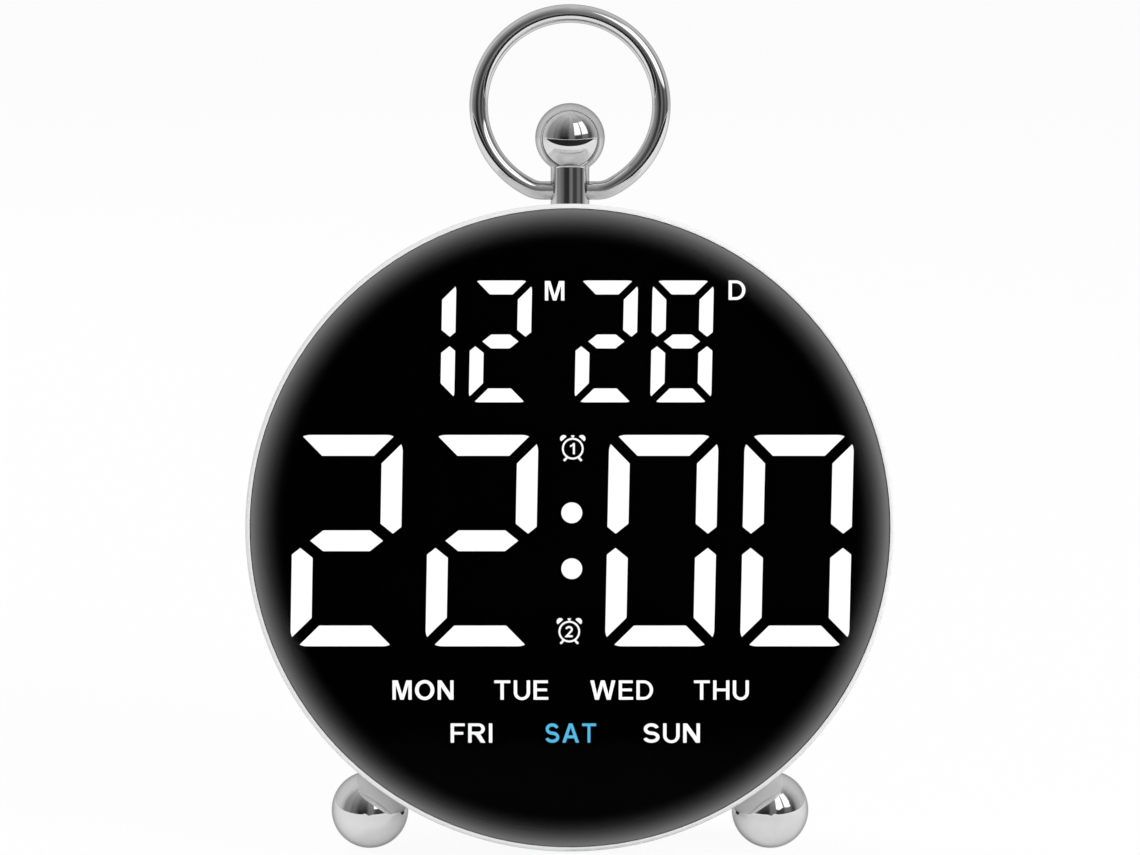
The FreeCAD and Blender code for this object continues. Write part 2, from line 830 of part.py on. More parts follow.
def make_display():
    """The film, the reflector, the inserts and the chips behind them."""
    film_disc = rod("film_disc", MODULE_RADIUS, "film_thick", "0", "lens_back", "0")
    film_tool = all_windows("film_windows", value("film_lap"), "lens_back", "film_thick")
    keep(cut_from("mask_film", film_disc, film_tool))

    reflector_disc = rod("reflector_disc", MODULE_RADIUS, "reflector_depth", "0", FILM_BACK, "0")
    wells = all_windows("light_wells", 0, FILM_BACK, "reflector_depth")
    notches = []
    for number in range(4):
        angle = f"(45 + 90 * {number})"
        notches.append(rod(f"reflector_notch_{number}", "screw_head + notch_gap",
                           "reflector_depth + 2 * cut_margin", f"boss_ring * cos({angle})",
                           f"{FILM_BACK} - cut_margin", f"boss_ring * sin({angle})"))
    openings = group("reflector_openings", [wells] + notches)
    keep(cut_from("reflector", reflector_disc, openings))

    inserts = window_solids(value("bar_fit"), value(FILM_BACK), value("bar_depth"))
    chips = []
    half, high = value("chip_long") / 2, value("chip_high")
    for name, solids in inserts.items():
        insert = doc.addObject("Part::Feature", name)
        insert.Shape = Part.makeCompound(solids)
        keep(insert)
        for solid in solids:
            middle = solid.CenterOfMass
            corner = Vector(middle.x - half, value(BOARD_FRONT) - high, middle.z - half)
            chips.append(Part.makeBox(2 * half, high, 2 * half, corner))
    lamps = doc.addObject("Part::Feature", "light_chips")
    lamps.Shape = Part.makeCompound(chips)
    keep(lamps)


def make_display_board():
    """The round board behind the reflector, with its four screw holes."""
    body = new_body("display_board")
    turned(body, "board_disc", [
        ("0", BOARD_FRONT),
        (MODULE_RADIUS, BOARD_FRONT),
        (MODULE_RADIUS, BOARD_BACK),
        ("0", BOARD_BACK),
    ])
    plan = face_sketch(body, "board_hole_plan", BOARD_FRONT, DIAGONAL)
    circle(plan, "boss_ring", "0", "screw_radius + screw_gap")
    ringed(body, "board_holes", sunk(body, "board_hole", plan, "board_thick"), 4)
    return keep(body)


def make_screws(name, seat, length, points_back):
    """Four screws on the boss ring, heads on a seat at a depth."""
    ring = "boss_ring"
    body = new_body(name)
    body.AllowCompound = True
    way = "1" if points_back else "-1"
    corners = [
        ("0", f"{seat} - {way} * screw_head_high"),
        ("screw_head_top", f"{seat} - {way} * screw_head_high"),
        ("screw_head", f"{seat} - {way} * screw_head_edge"),
        ("screw_head", seat),
        ("screw_radius", seat),
        ("screw_radius", f"{seat} + {way} * ({length} - screw_radius)"),
        ("0", f"{seat} + {way} * {length}"),
    ]
    turn = turned(body, name + "_turn", corners, across=ring)
    recess = face_sketch(body, name + "_recess_plan", f"{seat} - {way} * (screw_head_high + cut_margin)")
    steps = [("-", "reach", "-", "half"), ("-", "half", "-", "half"), ("-", "half", "-", "reach"),
             ("+", "half", "-", "reach"), ("+", "half", "-", "half"), ("+", "reach", "-", "half"),
             ("+", "reach", "+", "half"), ("+", "half", "+", "half"), ("+", "half", "+", "reach"),
             ("-", "half", "+", "reach"), ("-", "half", "+", "half"), ("-", "reach", "+", "half")]
    outline(recess, [
        (f"{ring} {side} cross_{across}", f"0 {end} cross_{up}") for side, across, end, up in steps
    ])
    cross = sunk(body, name + "_recess", recess, "cross_deep + cut_margin", other_way=not points_back)
    pattern = body.newObject("PartDesign::PolarPattern", name + "_pattern")
    pattern.Originals = [turn, cross]
    axis = [item for item in body.Origin.OriginFeatures if item.Role == "Y_Axis"][0]
    pattern.Axis = (axis, [""])
    pattern.Angle = 360
    pattern.Occurrences = 4
    body.Tip = pattern
    doc.recompute()
    return keep(body, local=Placement(Vector(), Rotation(Vector(0, 1, 0), 45)))


def make_board_parts():
    """Two chips, a crystal and a ribbon plug on the back of the display board."""
    for name, side in (("driver_chip", "-chip_side"), ("clock_chip", "chip_side")):
        parts = [block(name + "_case", "chip_wide", "chip_thick", "chip_tall", side, BOARD_BACK,
                       "chip_level")]
        for number in range(CHIP_LEGS):
            place = f"{side} + {number - (CHIP_LEGS - 1) / 2} * leg_pitch"
            parts.append(block(f"{name}_leg_{number}", "leg_wide", "leg_thick", "chip_tall + 2 * leg_reach",
                               place, BOARD_BACK, "chip_level"))
        keep(joined(name, parts))
    can = rod("crystal_can", "crystal_radius", "crystal_long", "chip_side - crystal_long / 2",
              f"{BOARD_BACK} + crystal_radius", "chip_level - chip_tall", SIDEWAYS)
    keep(group("clock_crystal", [can]))


# Back cover

def make_back_cover():
    """The cover with its well, grille, holes, pads and posts."""
    body = new_body("back_cover")
    spigot_outer = f"({DRUM_INNER} - spigot_gap)"
    spigot_inner = f"({spigot_outer} - spigot_wall)"
    turned(body, "cover_shell", [
        ("0", "cover_face"),
        ("drum_radius - cover_round", "cover_face"),
        ("drum_radius", "cover_face - cover_round"),
        ("drum_radius", "drum_end"),
        (spigot_outer, "drum_end"),
        (spigot_outer, "drum_end - spigot_deep"),
        (spigot_inner, "drum_end - spigot_deep"),
        (spigot_inner, COVER_INNER),
        ("0", COVER_INNER),
    ], arcs={1: ("cover_round", 1)})

    pads = face_sketch(body, "screw_pad_plan", f"{BOSS_END} + boss_joint", DIAGONAL)
    circle(pads, "boss_ring", "0", "screw_pad_radius")
    pad = raised(body, "screw_pad", pads, f"{COVER_INNER} - {BOSS_END} - boss_joint + root_lap", True)
    ringed(body, "screw_pads", pad, 4)

    well = face_sketch(body, "well_plan", f"{WELL_FRONT} - well_floor")
    half_wide = f"({DOOR_WIDE} / 2 + door_gap + well_wall)"
    half_tall = f"({DOOR_TALL} / 2 + door_gap + well_wall)"
    rectangle(well, f"-{half_wide}", f"well_level - {half_tall}", half_wide, f"well_level + {half_tall}")
    raised(body, "well_box", well, f"{COVER_INNER} + root_lap - {WELL_FRONT} + well_floor", True)
    inside = face_sketch(body, "well_inside_plan", WELL_FRONT)
    rectangle(inside, f"-{WELL_WIDE} / 2", f"well_level - {WELL_TALL} / 2", f"{WELL_WIDE} / 2",
              f"well_level + {WELL_TALL} / 2")
    sunk(body, "well_inside", inside, f"cover_face + cut_margin - {WELL_FRONT}")
    recess = face_sketch(body, "door_recess_plan", f"{DOOR_BACK} - door_rest_gap")
    rectangle(recess, f"-({DOOR_WIDE} / 2 + door_gap)", f"well_level - {DOOR_TALL} / 2 - door_gap",
              f"{DOOR_WIDE} / 2 + door_gap", f"well_level + {DOOR_TALL} / 2 + door_gap")
    sunk(body, "door_recess", recess, "door_thick + door_rest_gap + cut_margin")
    reach = f"({DOOR_WIDE} / 2 + door_gap + door_pin_long + door_pin_gap)"
    sockets = sketch_on(body, "YZ_Plane", "door_socket_plan", away=f"-{reach}")
    circle(sockets, DOOR_PIVOT_DEPTH, DOOR_PIVOT_LEVEL, "door_pin + door_pin_gap")
    sunk(body, "door_sockets", sockets, f"2 * {reach}", other_way=True)
    notch = face_sketch(body, "finger_notch_plan", "cover_face - notch_deep")
    rectangle(notch, "-notch_wide / 2", f"well_level + {DOOR_TALL} / 2", "notch_wide / 2",
              f"well_level + {DOOR_TALL} / 2 + notch_tall")
    sunk(body, "finger_notch", notch, "notch_deep + cut_margin")

    fence = face_sketch(body, "speaker_fence_plan", f"{COVER_INNER} - speaker_fence_high")
    circle(fence, "0", "speaker_level", "speaker_radius + speaker_gap + speaker_fence")
    circle(fence, "0", "speaker_level", "speaker_radius + speaker_gap")
    raised(body, "speaker_fence_ring", fence, "speaker_fence_high + root_lap", other_way=True)
    through = "cover_wall + 2 * cut_margin"
    grille = face_sketch(body, "grille_plan", f"{COVER_INNER} - cut_margin")
    circle(grille, "0", "speaker_level", "grille_hole")
    for ring in range(1, GRILLE_RINGS + 1):
        for number in range(6 * ring):
            angle = f"({60 / ring} * {number})"
            circle(grille, f"{ring} * grille_pitch * sin({angle})",
                   f"speaker_level + {ring} * grille_pitch * cos({angle})", "grille_hole")
    sunk(body, "grille", grille, through)

    posts = face_sketch(body, "key_post_plan", "key_board_back")
    for side in ("-post_place", "post_place"):
        circle(posts, side, "button_level", "key_post_radius")
    raised(body, "key_posts", posts, f"{COVER_INNER} + root_lap - key_board_back", other_way=True)
    pilots = face_sketch(body, "key_pilot_plan", "key_board_back")
    for side in ("-post_place", "post_place"):
        circle(pilots, side, "button_level", "key_screw_radius + key_pilot_gap")
    sunk(body, "key_pilots", pilots, "key_screw_long - board_thick + screw_end_gap")
    buttons = face_sketch(body, "button_hole_plan", f"{COVER_INNER} - cut_margin")
    for number in range(5):
        circle(buttons, f"({number} - 2) * button_pitch", "button_level", "button_radius + button_gap")
    sunk(body, "button_holes", buttons, through)
    socket = face_sketch(body, "socket_hole_plan", f"{COVER_INNER} - cut_margin")
    stadium(socket, "socket_place", "button_level", "socket_wide + 2 * socket_gap",
            "socket_tall + 2 * socket_gap")
    sunk(body, "socket_hole", socket, through)

    for name, depth, radius in (
        ("cover_screw_hole", BOSS_END, "screw_radius + screw_gap"),
        ("screw_sink", "(cover_face - screw_sink)", "screw_head + screw_gap"),
    ):
        plan = face_sketch(body, name + "_plan", depth, DIAGONAL)
        circle(plan, "boss_ring", "0", radius)
        hole = sunk(body, name + "_pocket", plan, f"cover_face + cut_margin - {depth}")
        ringed(body, name + "s", hole, 4)
    return keep(body)


def stadium(sketch, middle, level, wide, tall):
    """A slot outline with round ends."""
    straight, end = f"(({wide}) - ({tall})) / 2", f"(({tall}) / 2)"
    outline(sketch, [
        (f"{middle} - {straight}", f"{level} - {end}"),
        (f"{middle} + {straight}", f"{level} - {end}"),
        (f"{middle} + {straight} + {end}", level),
        (f"{middle} + {straight}", f"{level} + {end}"),
        (f"{middle} - {straight}", f"{level} + {end}"),
        (f"{middle} - {straight} - {end}", level),
    ], arcs={1: (end, -1), 2: (end, -1), 4: (end, -1), 5: (end, -1)})


# Handle post and ring handle

def make_handle_post():
    """The stem with its ball on top, cross hole and stud."""
    body = new_body("handle_post")
    profile = sketch_on(body, "XZ_Plane", "post_profile")
    joint = "(stem_radius + post_fillet)"
    reach = "(post_ball + post_fillet)"
    drop = f"(sqrt({reach} * {reach} - {joint} * {joint}))"
    outline(profile, [
        ("0", f"{SEAT_RADIUS} - {STUD_LONG}"),
        ("stud_radius", f"{SEAT_RADIUS} - {STUD_LONG}"),
        ("stud_radius", SEAT_RADIUS),
        ("stem_radius", SEAT_RADIUS),
        ("stem_radius", f"post_ball_level - {drop}"),
        (f"{joint} * post_ball / {reach}", f"post_ball_level - {drop} * post_ball / {reach}"),
        ("post_ball", "post_ball_level"),
        ("0", "post_ball_level + post_ball"),
    ], arcs={4: ("post_fillet", 1), 5: ("post_ball", -1), 6: ("post_ball", -1)})
    turn = body.newObject("PartDesign::Revolution", "post_turn")
    turn.Profile = profile
    turn.ReferenceAxis = (profile, ["V_Axis"])
    turn.Angle = 360
    doc.recompute()
    cross = sketch_on(body, "YZ_Plane", "cross_hole_plan", away="-(stem_radius + cut_margin)")
    circle(cross, "0", "pivot_level", "ring_wire + ring_hole_gap")
    sunk(body, "cross_hole", cross, "2 * (stem_radius + cut_margin)", other_way=True)
    return keep(body, local=Placement(Vector(0, value("post_depth"), 0), Rotation()))


def make_ring_handle():
    """The bent wire ring whose two ends turn in the post's cross hole."""
    body = new_body("ring_handle")
    inner = "(ring_radius - ring_bend)"
    flat = f"(sqrt({inner} * {inner} - (ring_lift - ring_bend) * (ring_lift - ring_bend)))"
    meet_x = f"({flat} * ring_radius / {inner})"
    meet_z = f"(ring_bend - ring_bend * (ring_lift - ring_bend) / {inner})"
    path = sketch_on(body, "XZ_Plane", "ring_path")
    outline(path, [
        ("ring_end", "0"),
        (flat, "0"),
        (meet_x, meet_z),
        ("ring_radius", "ring_lift"),
        ("0", "ring_lift + ring_radius"),
        ("-ring_radius", "ring_lift"),
        (f"-{meet_x}", meet_z),
        (f"-{flat}", "0"),
        ("-ring_end", "0"),
    ], arcs={1: ("ring_bend", -1), 2: ("ring_radius", -1), 3: ("ring_radius", -1), 4: ("ring_radius", -1),
             5: ("ring_radius", -1), 6: ("ring_bend", -1)}, closed=False)
    section = sketch_on(body, "YZ_Plane", "ring_section", away="ring_end")
    circle(section, "0", "0", "ring_wire")
    pipe = body.newObject("PartDesign::AdditivePipe", "ring_pipe")
    pipe.Profile = section
    pipe.Spine = path
    doc.recompute()
    return keep(body, local=Placement(Vector(0, value("post_depth"), value("pivot_level")), Rotation()))


def make_fixing(name, local_list):
    """A washer and a nut for each stud, as two groups of solids."""
    washers, nuts = [], []
    for number, local in enumerate(local_list):
        washer = new_body(f"{name}_washer_{number}")
        plan = sketch_on(washer, "XY_Plane", "washer_plan", away=f"{PAD_RADIUS} - washer_thick")
        circle(plan, "0", "0", "washer_radius")
        circle(plan, "0", "0", "stud_radius + stud_gap")
        raised(washer, "washer_pad", plan, "washer_thick")
        nut = new_body(f"{name}_nut_{number}")
        plan = sketch_on(nut, "XY_Plane", "nut_plan", away=f"{PAD_RADIUS} - washer_thick - nut_high")
        point = "(nut_flats / 2 / cos(30))"
        outline(plan, [
            (f"{point} * cos({60 * corner})", f"{point} * sin({60 * corner})") for corner in range(6)
        ])
        circle(plan, "0", "0", "stud_radius + stud_gap / 2")
        raised(nut, "nut_pad", plan, "nut_high")
        washer.Placement = local
        nut.Placement = local
        washers.append(washer)
        nuts.append(nut)
    keep(group(f"{name}_washer" if len(washers) == 1 else f"{name}_washers", washers))
    keep(group(f"{name}_nut" if len(nuts) == 1 else f"{name}_nuts", nuts))


def foot_place(side):
    """The turn and place of a foot: its axis points out and down."""
    angle = side * (180 - value("foot_angle"))
    return Placement(Vector(0, value("foot_depth"), 0), Rotation(Vector(0, 1, 0), angle))


def make_foot(name, side):
    """A ball on a short neck, with the stud that goes through the drum."""
    body = new_body(name)
    profile = sketch_on(body, "XZ_Plane", name + "_profile")
    outline(profile, [
        ("0", f"{SEAT_RADIUS} - {STUD_LONG}"),
        ("stud_radius", f"{SEAT_RADIUS} - {STUD_LONG}"),
        ("stud_radius", SEAT_RADIUS),
        ("foot_neck", SEAT_RADIUS),
        ("foot_neck", "foot_reach - sqrt(foot_ball * foot_ball - foot_neck * foot_neck)"),
        ("foot_ball", "foot_reach"),
        ("0", "foot_reach + foot_ball"),
    ], arcs={4: ("foot_ball", -1), 5: ("foot_ball", -1)})
    turn = body.newObject("PartDesign::Revolution", name + "_turn")
    turn.Profile = profile
    turn.ReferenceAxis = (profile, ["V_Axis"])
    turn.Angle = 360
    doc.recompute()
    return keep(body, local=foot_place(side))


def make_rear_pad():
    """The rubber pad in the drum's recess, cut off along the table's plane."""
    body = new_body("rear_rest_pad")
    side = sketch_on(body, "YZ_Plane", "rest_side", away="-rest_wide / 2")
    top = "-(drum_radius - rest_recess)"
    back = "(rest_front + rest_long)"
    outline(side, [
        ("rest_front", f"({STAND} - rest_front * sin(lean)) / -cos(lean)"),
        (back, f"({STAND} - {back} * sin(lean)) / -cos(lean)"),
        (back, top),
        ("rest_front", top),
    ])
    raised(body, "rest_block", side, "rest_wide")
    return keep(body)


# Speaker

def make_speaker():
    """The basket, cone, magnet and gasket behind the grille."""
    local = Placement(Vector(0, 0, value("speaker_level")), Rotation())
    throat = f"({SPEAKER_BACK} - speaker_deep)"
    basket = new_body("speaker_basket")
    turned(basket, "basket_turn", [
        ("magnet_radius - speaker_wall", throat),
        ("magnet_radius + basket_throat", throat),
        ("cone_radius + speaker_wall", f"{SPEAKER_BACK} - speaker_flange"),
        ("speaker_radius", f"{SPEAKER_BACK} - speaker_flange"),
        ("speaker_radius", SPEAKER_BACK),
        ("cone_radius", SPEAKER_BACK),
        ("cone_radius", f"{SPEAKER_BACK} - speaker_flange"),
        ("magnet_radius - speaker_wall", f"{throat} + speaker_wall"),
    ])
    keep(basket, local=local)
    cone = new_body("speaker_cone")
    turned(cone, "cone_turn", [
        ("0", f"{SPEAKER_BACK} - cone_deep + cone_dome"),
        ("cone_eye", f"{SPEAKER_BACK} - cone_deep"),
        ("cone_radius - cone_gap", f"{SPEAKER_BACK} - cone_gap - cone_thick"),
        ("cone_radius - cone_gap", f"{SPEAKER_BACK} - cone_gap"),
        ("cone_radius - cone_gap - cone_lip", f"{SPEAKER_BACK} - cone_gap"),
        ("cone_eye", f"{SPEAKER_BACK} - cone_deep + cone_thick"),
        ("0", f"{SPEAKER_BACK} - cone_deep + cone_dome + cone_thick"),
    ])
    keep(cone, local=local)
    magnet = new_body("speaker_magnet")
    turned(magnet, "magnet_turn", [
        ("0", f"{throat} - magnet_deep"),
        ("magnet_radius - magnet_bevel", f"{throat} - magnet_deep"),
        ("magnet_radius", f"{throat} - magnet_deep + magnet_bevel"),
        ("magnet_radius", throat),
        ("0", throat),
    ])
    keep(magnet, local=local)
    gasket = new_body("speaker_gasket")
    turned(gasket, "gasket_turn", [
        ("cone_radius", SPEAKER_BACK),
        ("speaker_radius", SPEAKER_BACK),
        ("speaker_radius", COVER_INNER),
        ("cone_radius", COVER_INNER),
    ])
    keep(gasket, local=local)


# Setting buttons, their switches and board

BUTTONS = ["set_button", "mode_button", "down_button", "up_button", "alarm_button"]


def make_buttons():
    """The five buttons, each with the plunger of its switch."""
    for number, name in enumerate(BUTTONS):
        across = f"({number} - 2) * button_pitch"
        local = Placement(Vector(value(across), 0, value("button_level")), Rotation())
        button = new_body(name)
        top = "(cover_face + button_rise)"
        turned(button, name + "_turn", [
            ("0", FLANGE_FRONT),
            ("button_radius + button_flange", FLANGE_FRONT),
            ("button_radius + button_flange", BUTTON_SEAT),
            ("button_radius", BUTTON_SEAT),
            ("button_radius", f"{top} - button_round"),
            ("button_radius - button_round", top),
            ("0", top),
        ], arcs={4: ("button_round", -1)})
        keep(button, local=local)
        plunger = rod(name.replace("button", "plunger_rod"), "plunger_radius",
                      f"{FLANGE_FRONT} - {PLUNGER_END}", across, PLUNGER_END, "button_level")
        keep(group(name.replace("button", "switch_plunger"), [plunger]))


def make_switches():
    """Five square switch bodies with a bore for each plunger."""
    switches = []
    for number in range(5):
        place = f"({number} - 2) * button_pitch"
        case = block(f"switch_case_{number}", "switch_wide", SWITCH_HIGH, "switch_wide", place,
                     "key_board_back", "button_level")
        bore = rod(f"switch_bore_{number}", "plunger_radius + plunger_gap", SWITCH_HIGH,
                   place, "key_board_back + switch_floor", "button_level")
        switches.append(cut_from(f"switch_{number}", case, bore))
    keep(group("switch_bodies", switches))


def make_button_board():
    """The long board that carries the switches and the power socket."""
    body = new_body("button_board")
    plan = face_sketch(body, "button_board_plan", KEY_BOARD_FRONT)
    rectangle(plan, "key_board_left", "button_level - key_board_tall / 2", "key_board_right",
              "button_level + key_board_tall / 2")
    for side in ("-post_place", "post_place"):
        circle(plan, side, "button_level", "key_screw_radius + key_hole_gap")
    raised(body, "button_board_pad", plan, "board_thick", other_way=True)
    keep(body)
    screws = []
    for number, side in enumerate(("-post_place", "post_place")):
        top = f"{KEY_BOARD_FRONT} - key_head_high"
        head = rod(f"key_screw_head_{number}", "key_screw_head", "key_head_high", side, top, "button_level")
        shank = rod(f"key_screw_shank_{number}", "key_screw_radius", "key_screw_long + root_lap", side,
                    f"{KEY_BOARD_FRONT} - root_lap", "button_level")
        slot = block(f"key_screw_slot_{number}", "2 * (key_screw_head - key_slot_end)",
                     "key_slot_deep + cut_margin", "key_slot_wide", side, f"{top} - cut_margin",
                     "button_level")
        blank = joined(f"key_screw_blank_{number}", [head, shank])
        screws.append(cut_from(f"key_screw_{number}", blank, slot))
    keep(group("button_board_screws", screws))


def make_power_socket():
    """The socket's metal shell and the tongue inside it."""
    shell = new_body("power_socket_shell")
    plan = face_sketch(shell, "socket_outer_plan", "key_board_back")
    stadium(plan, "socket_place", "button_level", "socket_wide", "socket_tall")
    raised(shell, "socket_outer", plan, "socket_long", other_way=True)
    hollow = face_sketch(shell, "socket_inner_plan", "key_board_back + socket_floor")
    stadium(hollow, "socket_place", "button_level", "socket_wide - 2 * socket_wall",
            "socket_tall - 2 * socket_wall")
    sunk(shell, "socket_inner", hollow, "socket_long")
    keep(shell)
    tongue = block("socket_tongue_bar", "tongue_wide", "tongue_long", "tongue_thick", "socket_place",
                   "key_board_back + socket_floor", "button_level")
    keep(group("power_socket_tongue", [tongue]))


# Battery cells, contacts and door

def make_batteries():
    """Cells laid side by side, alternate ones turned round, and their contacts."""
    cells, contacts = [], []
    for number in range(CELLS):
        level = f"well_level + {number - (CELLS - 1) / 2} * cell_pitch"
        way = -1 if number % 2 else 1
        start = "-(cell_long + cell_nub) / 2" if way > 0 else "-(cell_long + cell_nub) / 2 + cell_nub"
        can = rod(f"cell_can_{number}", "cell_radius", "cell_long", start, CELL_AXIS, level, SIDEWAYS)
        nub_start = "(cell_long - cell_nub) / 2" if way > 0 else "-(cell_long + cell_nub) / 2"
        nub = rod(f"cell_nub_{number}", "cell_nub_radius", "cell_nub", nub_start, CELL_AXIS, level,
                  SIDEWAYS)
        cells.append(joined(f"cell_{number}", [can, nub]))
        for side in (-1, 1):
            end = f"({side} * ({WELL_WIDE} - contact_thick) / 2)"
            plate = block(f"contact_plate_{number}_{side + 1}", "contact_thick", "contact_wide",
                          "contact_wide", end, f"{CELL_AXIS} - contact_wide / 2", level)
            reach = "(contact_space - contact_thick)"
            leaf = rod(f"contact_leaf_{number}_{side + 1}", "cell_nub_radius", reach,
                       f"{end} - contact_thick / 2 - {reach}" if side > 0 else f"{end} + contact_thick / 2",
                       CELL_AXIS, level, SIDEWAYS)
            contacts.append(joined(f"contact_{number}_{side + 1}", [plate, leaf]))
    keep(group("battery_cells", cells))
    keep(group("battery_contacts", contacts))


def make_battery_door():
    """The door, rounded along its lower edge, with a pin at each side."""
    body = new_body("battery_door")
    side = sketch_on(body, "YZ_Plane", "door_side", away=f"-{DOOR_WIDE} / 2")
    top = f"(well_level + {DOOR_TALL} / 2)"
    outline(side, [
        (DOOR_BACK, DOOR_PIVOT_LEVEL),
        (DOOR_PIVOT_DEPTH, f"{DOOR_PIVOT_LEVEL} - door_thick / 2"),
        ("cover_face", DOOR_PIVOT_LEVEL),
        ("cover_face", top),
        (DOOR_BACK, top),
    ], arcs={0: ("door_thick / 2", -1), 1: ("door_thick / 2", -1)})
    raised(body, "door_plate", side, DOOR_WIDE)
    pins = sketch_on(body, "YZ_Plane", "door_pin_plan", away=f"-({DOOR_WIDE} / 2 + door_pin_long)")
    circle(pins, DOOR_PIVOT_DEPTH, DOOR_PIVOT_LEVEL, "door_pin")
    raised(body, "door_pins", pins, f"{DOOR_WIDE} + 2 * door_pin_long")
    return keep(body)


# Ribbon cable

def make_ribbon():
    """The flat cable between the two boards and a plug at each of its ends."""
    for name, depth in (("display_plug", BOARD_BACK), ("button_plug", f"{KEY_BOARD_FRONT} - plug_high")):
        keep(group(name, [block(name + "_block", "plug_wide", "plug_high", "plug_tall", "0", depth,
                                "button_level")]))
    body = new_body("ribbon_cable")
    start, end = f"({BOARD_BACK} + plug_high)", f"({KEY_BOARD_FRONT} - plug_high)"
    half = f"(({end} - {start}) / 2)"
    bend = f"(({half} * {half} + ribbon_bow * ribbon_bow) / (2 * ribbon_bow))"
    side = sketch_on(body, "YZ_Plane", "ribbon_side", away="-ribbon_wide / 2")
    outline(side, [
        (start, "button_level - ribbon_thick / 2"),
        (end, "button_level - ribbon_thick / 2"),
        (end, "button_level + ribbon_thick / 2"),
        (start, "button_level + ribbon_thick / 2"),
    ], arcs={0: (bend, 1), 2: (bend, -1)})
    raised(body, "ribbon_strip", side, "ribbon_wide")
    return keep(body)


# Setting down and writing

def stance():
    """The frame that leans the case back and centres its box over the origin."""
    doc.recompute()
    lean = Placement(Vector(), Rotation(Vector(1, 0, 0), -value("lean")))
    boxes = []
    for item, local in subparts:
        leaned = item.Shape.copy()
        leaned.Placement = lean.multiply(local)
        boxes.append(leaned.optimalBoundingBox(False, False))
    middle = (min(box.YMin for box in boxes) + max(box.YMax for box in boxes)) / 2
    return Placement(Vector(0, -middle, value(STAND)), lean.Rotation)


def check_and_write():
    """See that every object is sound, then write each sub-part's shape."""
    for item in doc.Objects:
        if "Invalid" in item.State or "Error" in item.State:
            raise RuntimeError(f"{item.Name} is {item.State}")
    os.makedirs("parts", exist_ok=True)
    for item, local in subparts:
        shape = item.Shape
        if shape.isNull() or not shape.isValid() or not shape.Solids:
            raise RuntimeError(f"{item.Label} has no valid solid")
        shape.exportStep(f"parts/{item.Label}.step")
        print(f"{item.Label}: {len(shape.Solids)} solids, {shape.Volume / 1000:.3f} cm3")


make_case_body()
make_lens()
make_lens_adhesive()
make_display()
make_display_board()
make_screws("board_screws", BOARD_FRONT, "(board_screw_long + board_thick - screw_end_gap)", True)
make_board_parts()
make_back_cover()
make_screws("case_screws", "(cover_face - screw_sink)", "case_screw_long", False)
make_handle_post()
make_ring_handle()
make_fixing("post", [Placement(Vector(0, value("post_depth"), 0), Rotation())])
make_foot("left_foot", -1)
make_foot("right_foot", 1)
make_fixing("foot", [foot_place(-1), foot_place(1)])
make_rear_pad()
make_speaker()
make_buttons()
make_switches()
make_button_board()
make_power_socket()
make_batteries()
make_battery_door()
make_ribbon()

CASE_FRAME = stance()
for subpart, own_place in subparts:
    subpart.Placement = CASE_FRAME.multiply(own_place)
doc.recompute()
check_and_write()
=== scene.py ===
"""A round desk alarm clock with a light bar display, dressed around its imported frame.

Lengths are metres. Pieces of the case are made in the case's own frame, with X to the
right, Y from the rim's front plane towards the back and Z up the case, and are leaned
back with the case.
"""

import json
import logging
import math
from collections.abc import Iterable, Sequence
from dataclasses import dataclass
from enum import Enum
from typing import ClassVar

import bmesh
import bpy
from mathutils import Matrix, Vector
from mathutils.geometry import tessellate_polygon


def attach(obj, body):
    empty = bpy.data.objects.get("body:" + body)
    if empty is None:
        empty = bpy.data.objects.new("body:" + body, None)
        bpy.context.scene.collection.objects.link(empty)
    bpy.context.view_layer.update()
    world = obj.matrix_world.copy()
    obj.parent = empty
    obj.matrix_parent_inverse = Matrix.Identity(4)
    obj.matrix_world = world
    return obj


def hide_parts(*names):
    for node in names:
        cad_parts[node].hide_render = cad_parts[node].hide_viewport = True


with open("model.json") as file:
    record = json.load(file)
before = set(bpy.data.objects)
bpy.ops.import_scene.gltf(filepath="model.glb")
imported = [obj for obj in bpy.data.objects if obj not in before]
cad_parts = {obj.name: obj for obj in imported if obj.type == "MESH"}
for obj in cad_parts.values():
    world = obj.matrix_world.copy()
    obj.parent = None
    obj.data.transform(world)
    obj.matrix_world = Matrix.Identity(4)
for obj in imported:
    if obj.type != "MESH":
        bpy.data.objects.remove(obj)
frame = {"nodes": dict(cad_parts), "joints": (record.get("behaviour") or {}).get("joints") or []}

LOG = logging.getLogger("desk_clock")
MM = 0.001
Colour = tuple[float, float, float]
Point = tuple[float, float]
Range = tuple[float, float]
Outline = list[Point]


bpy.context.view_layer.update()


# Shader sums

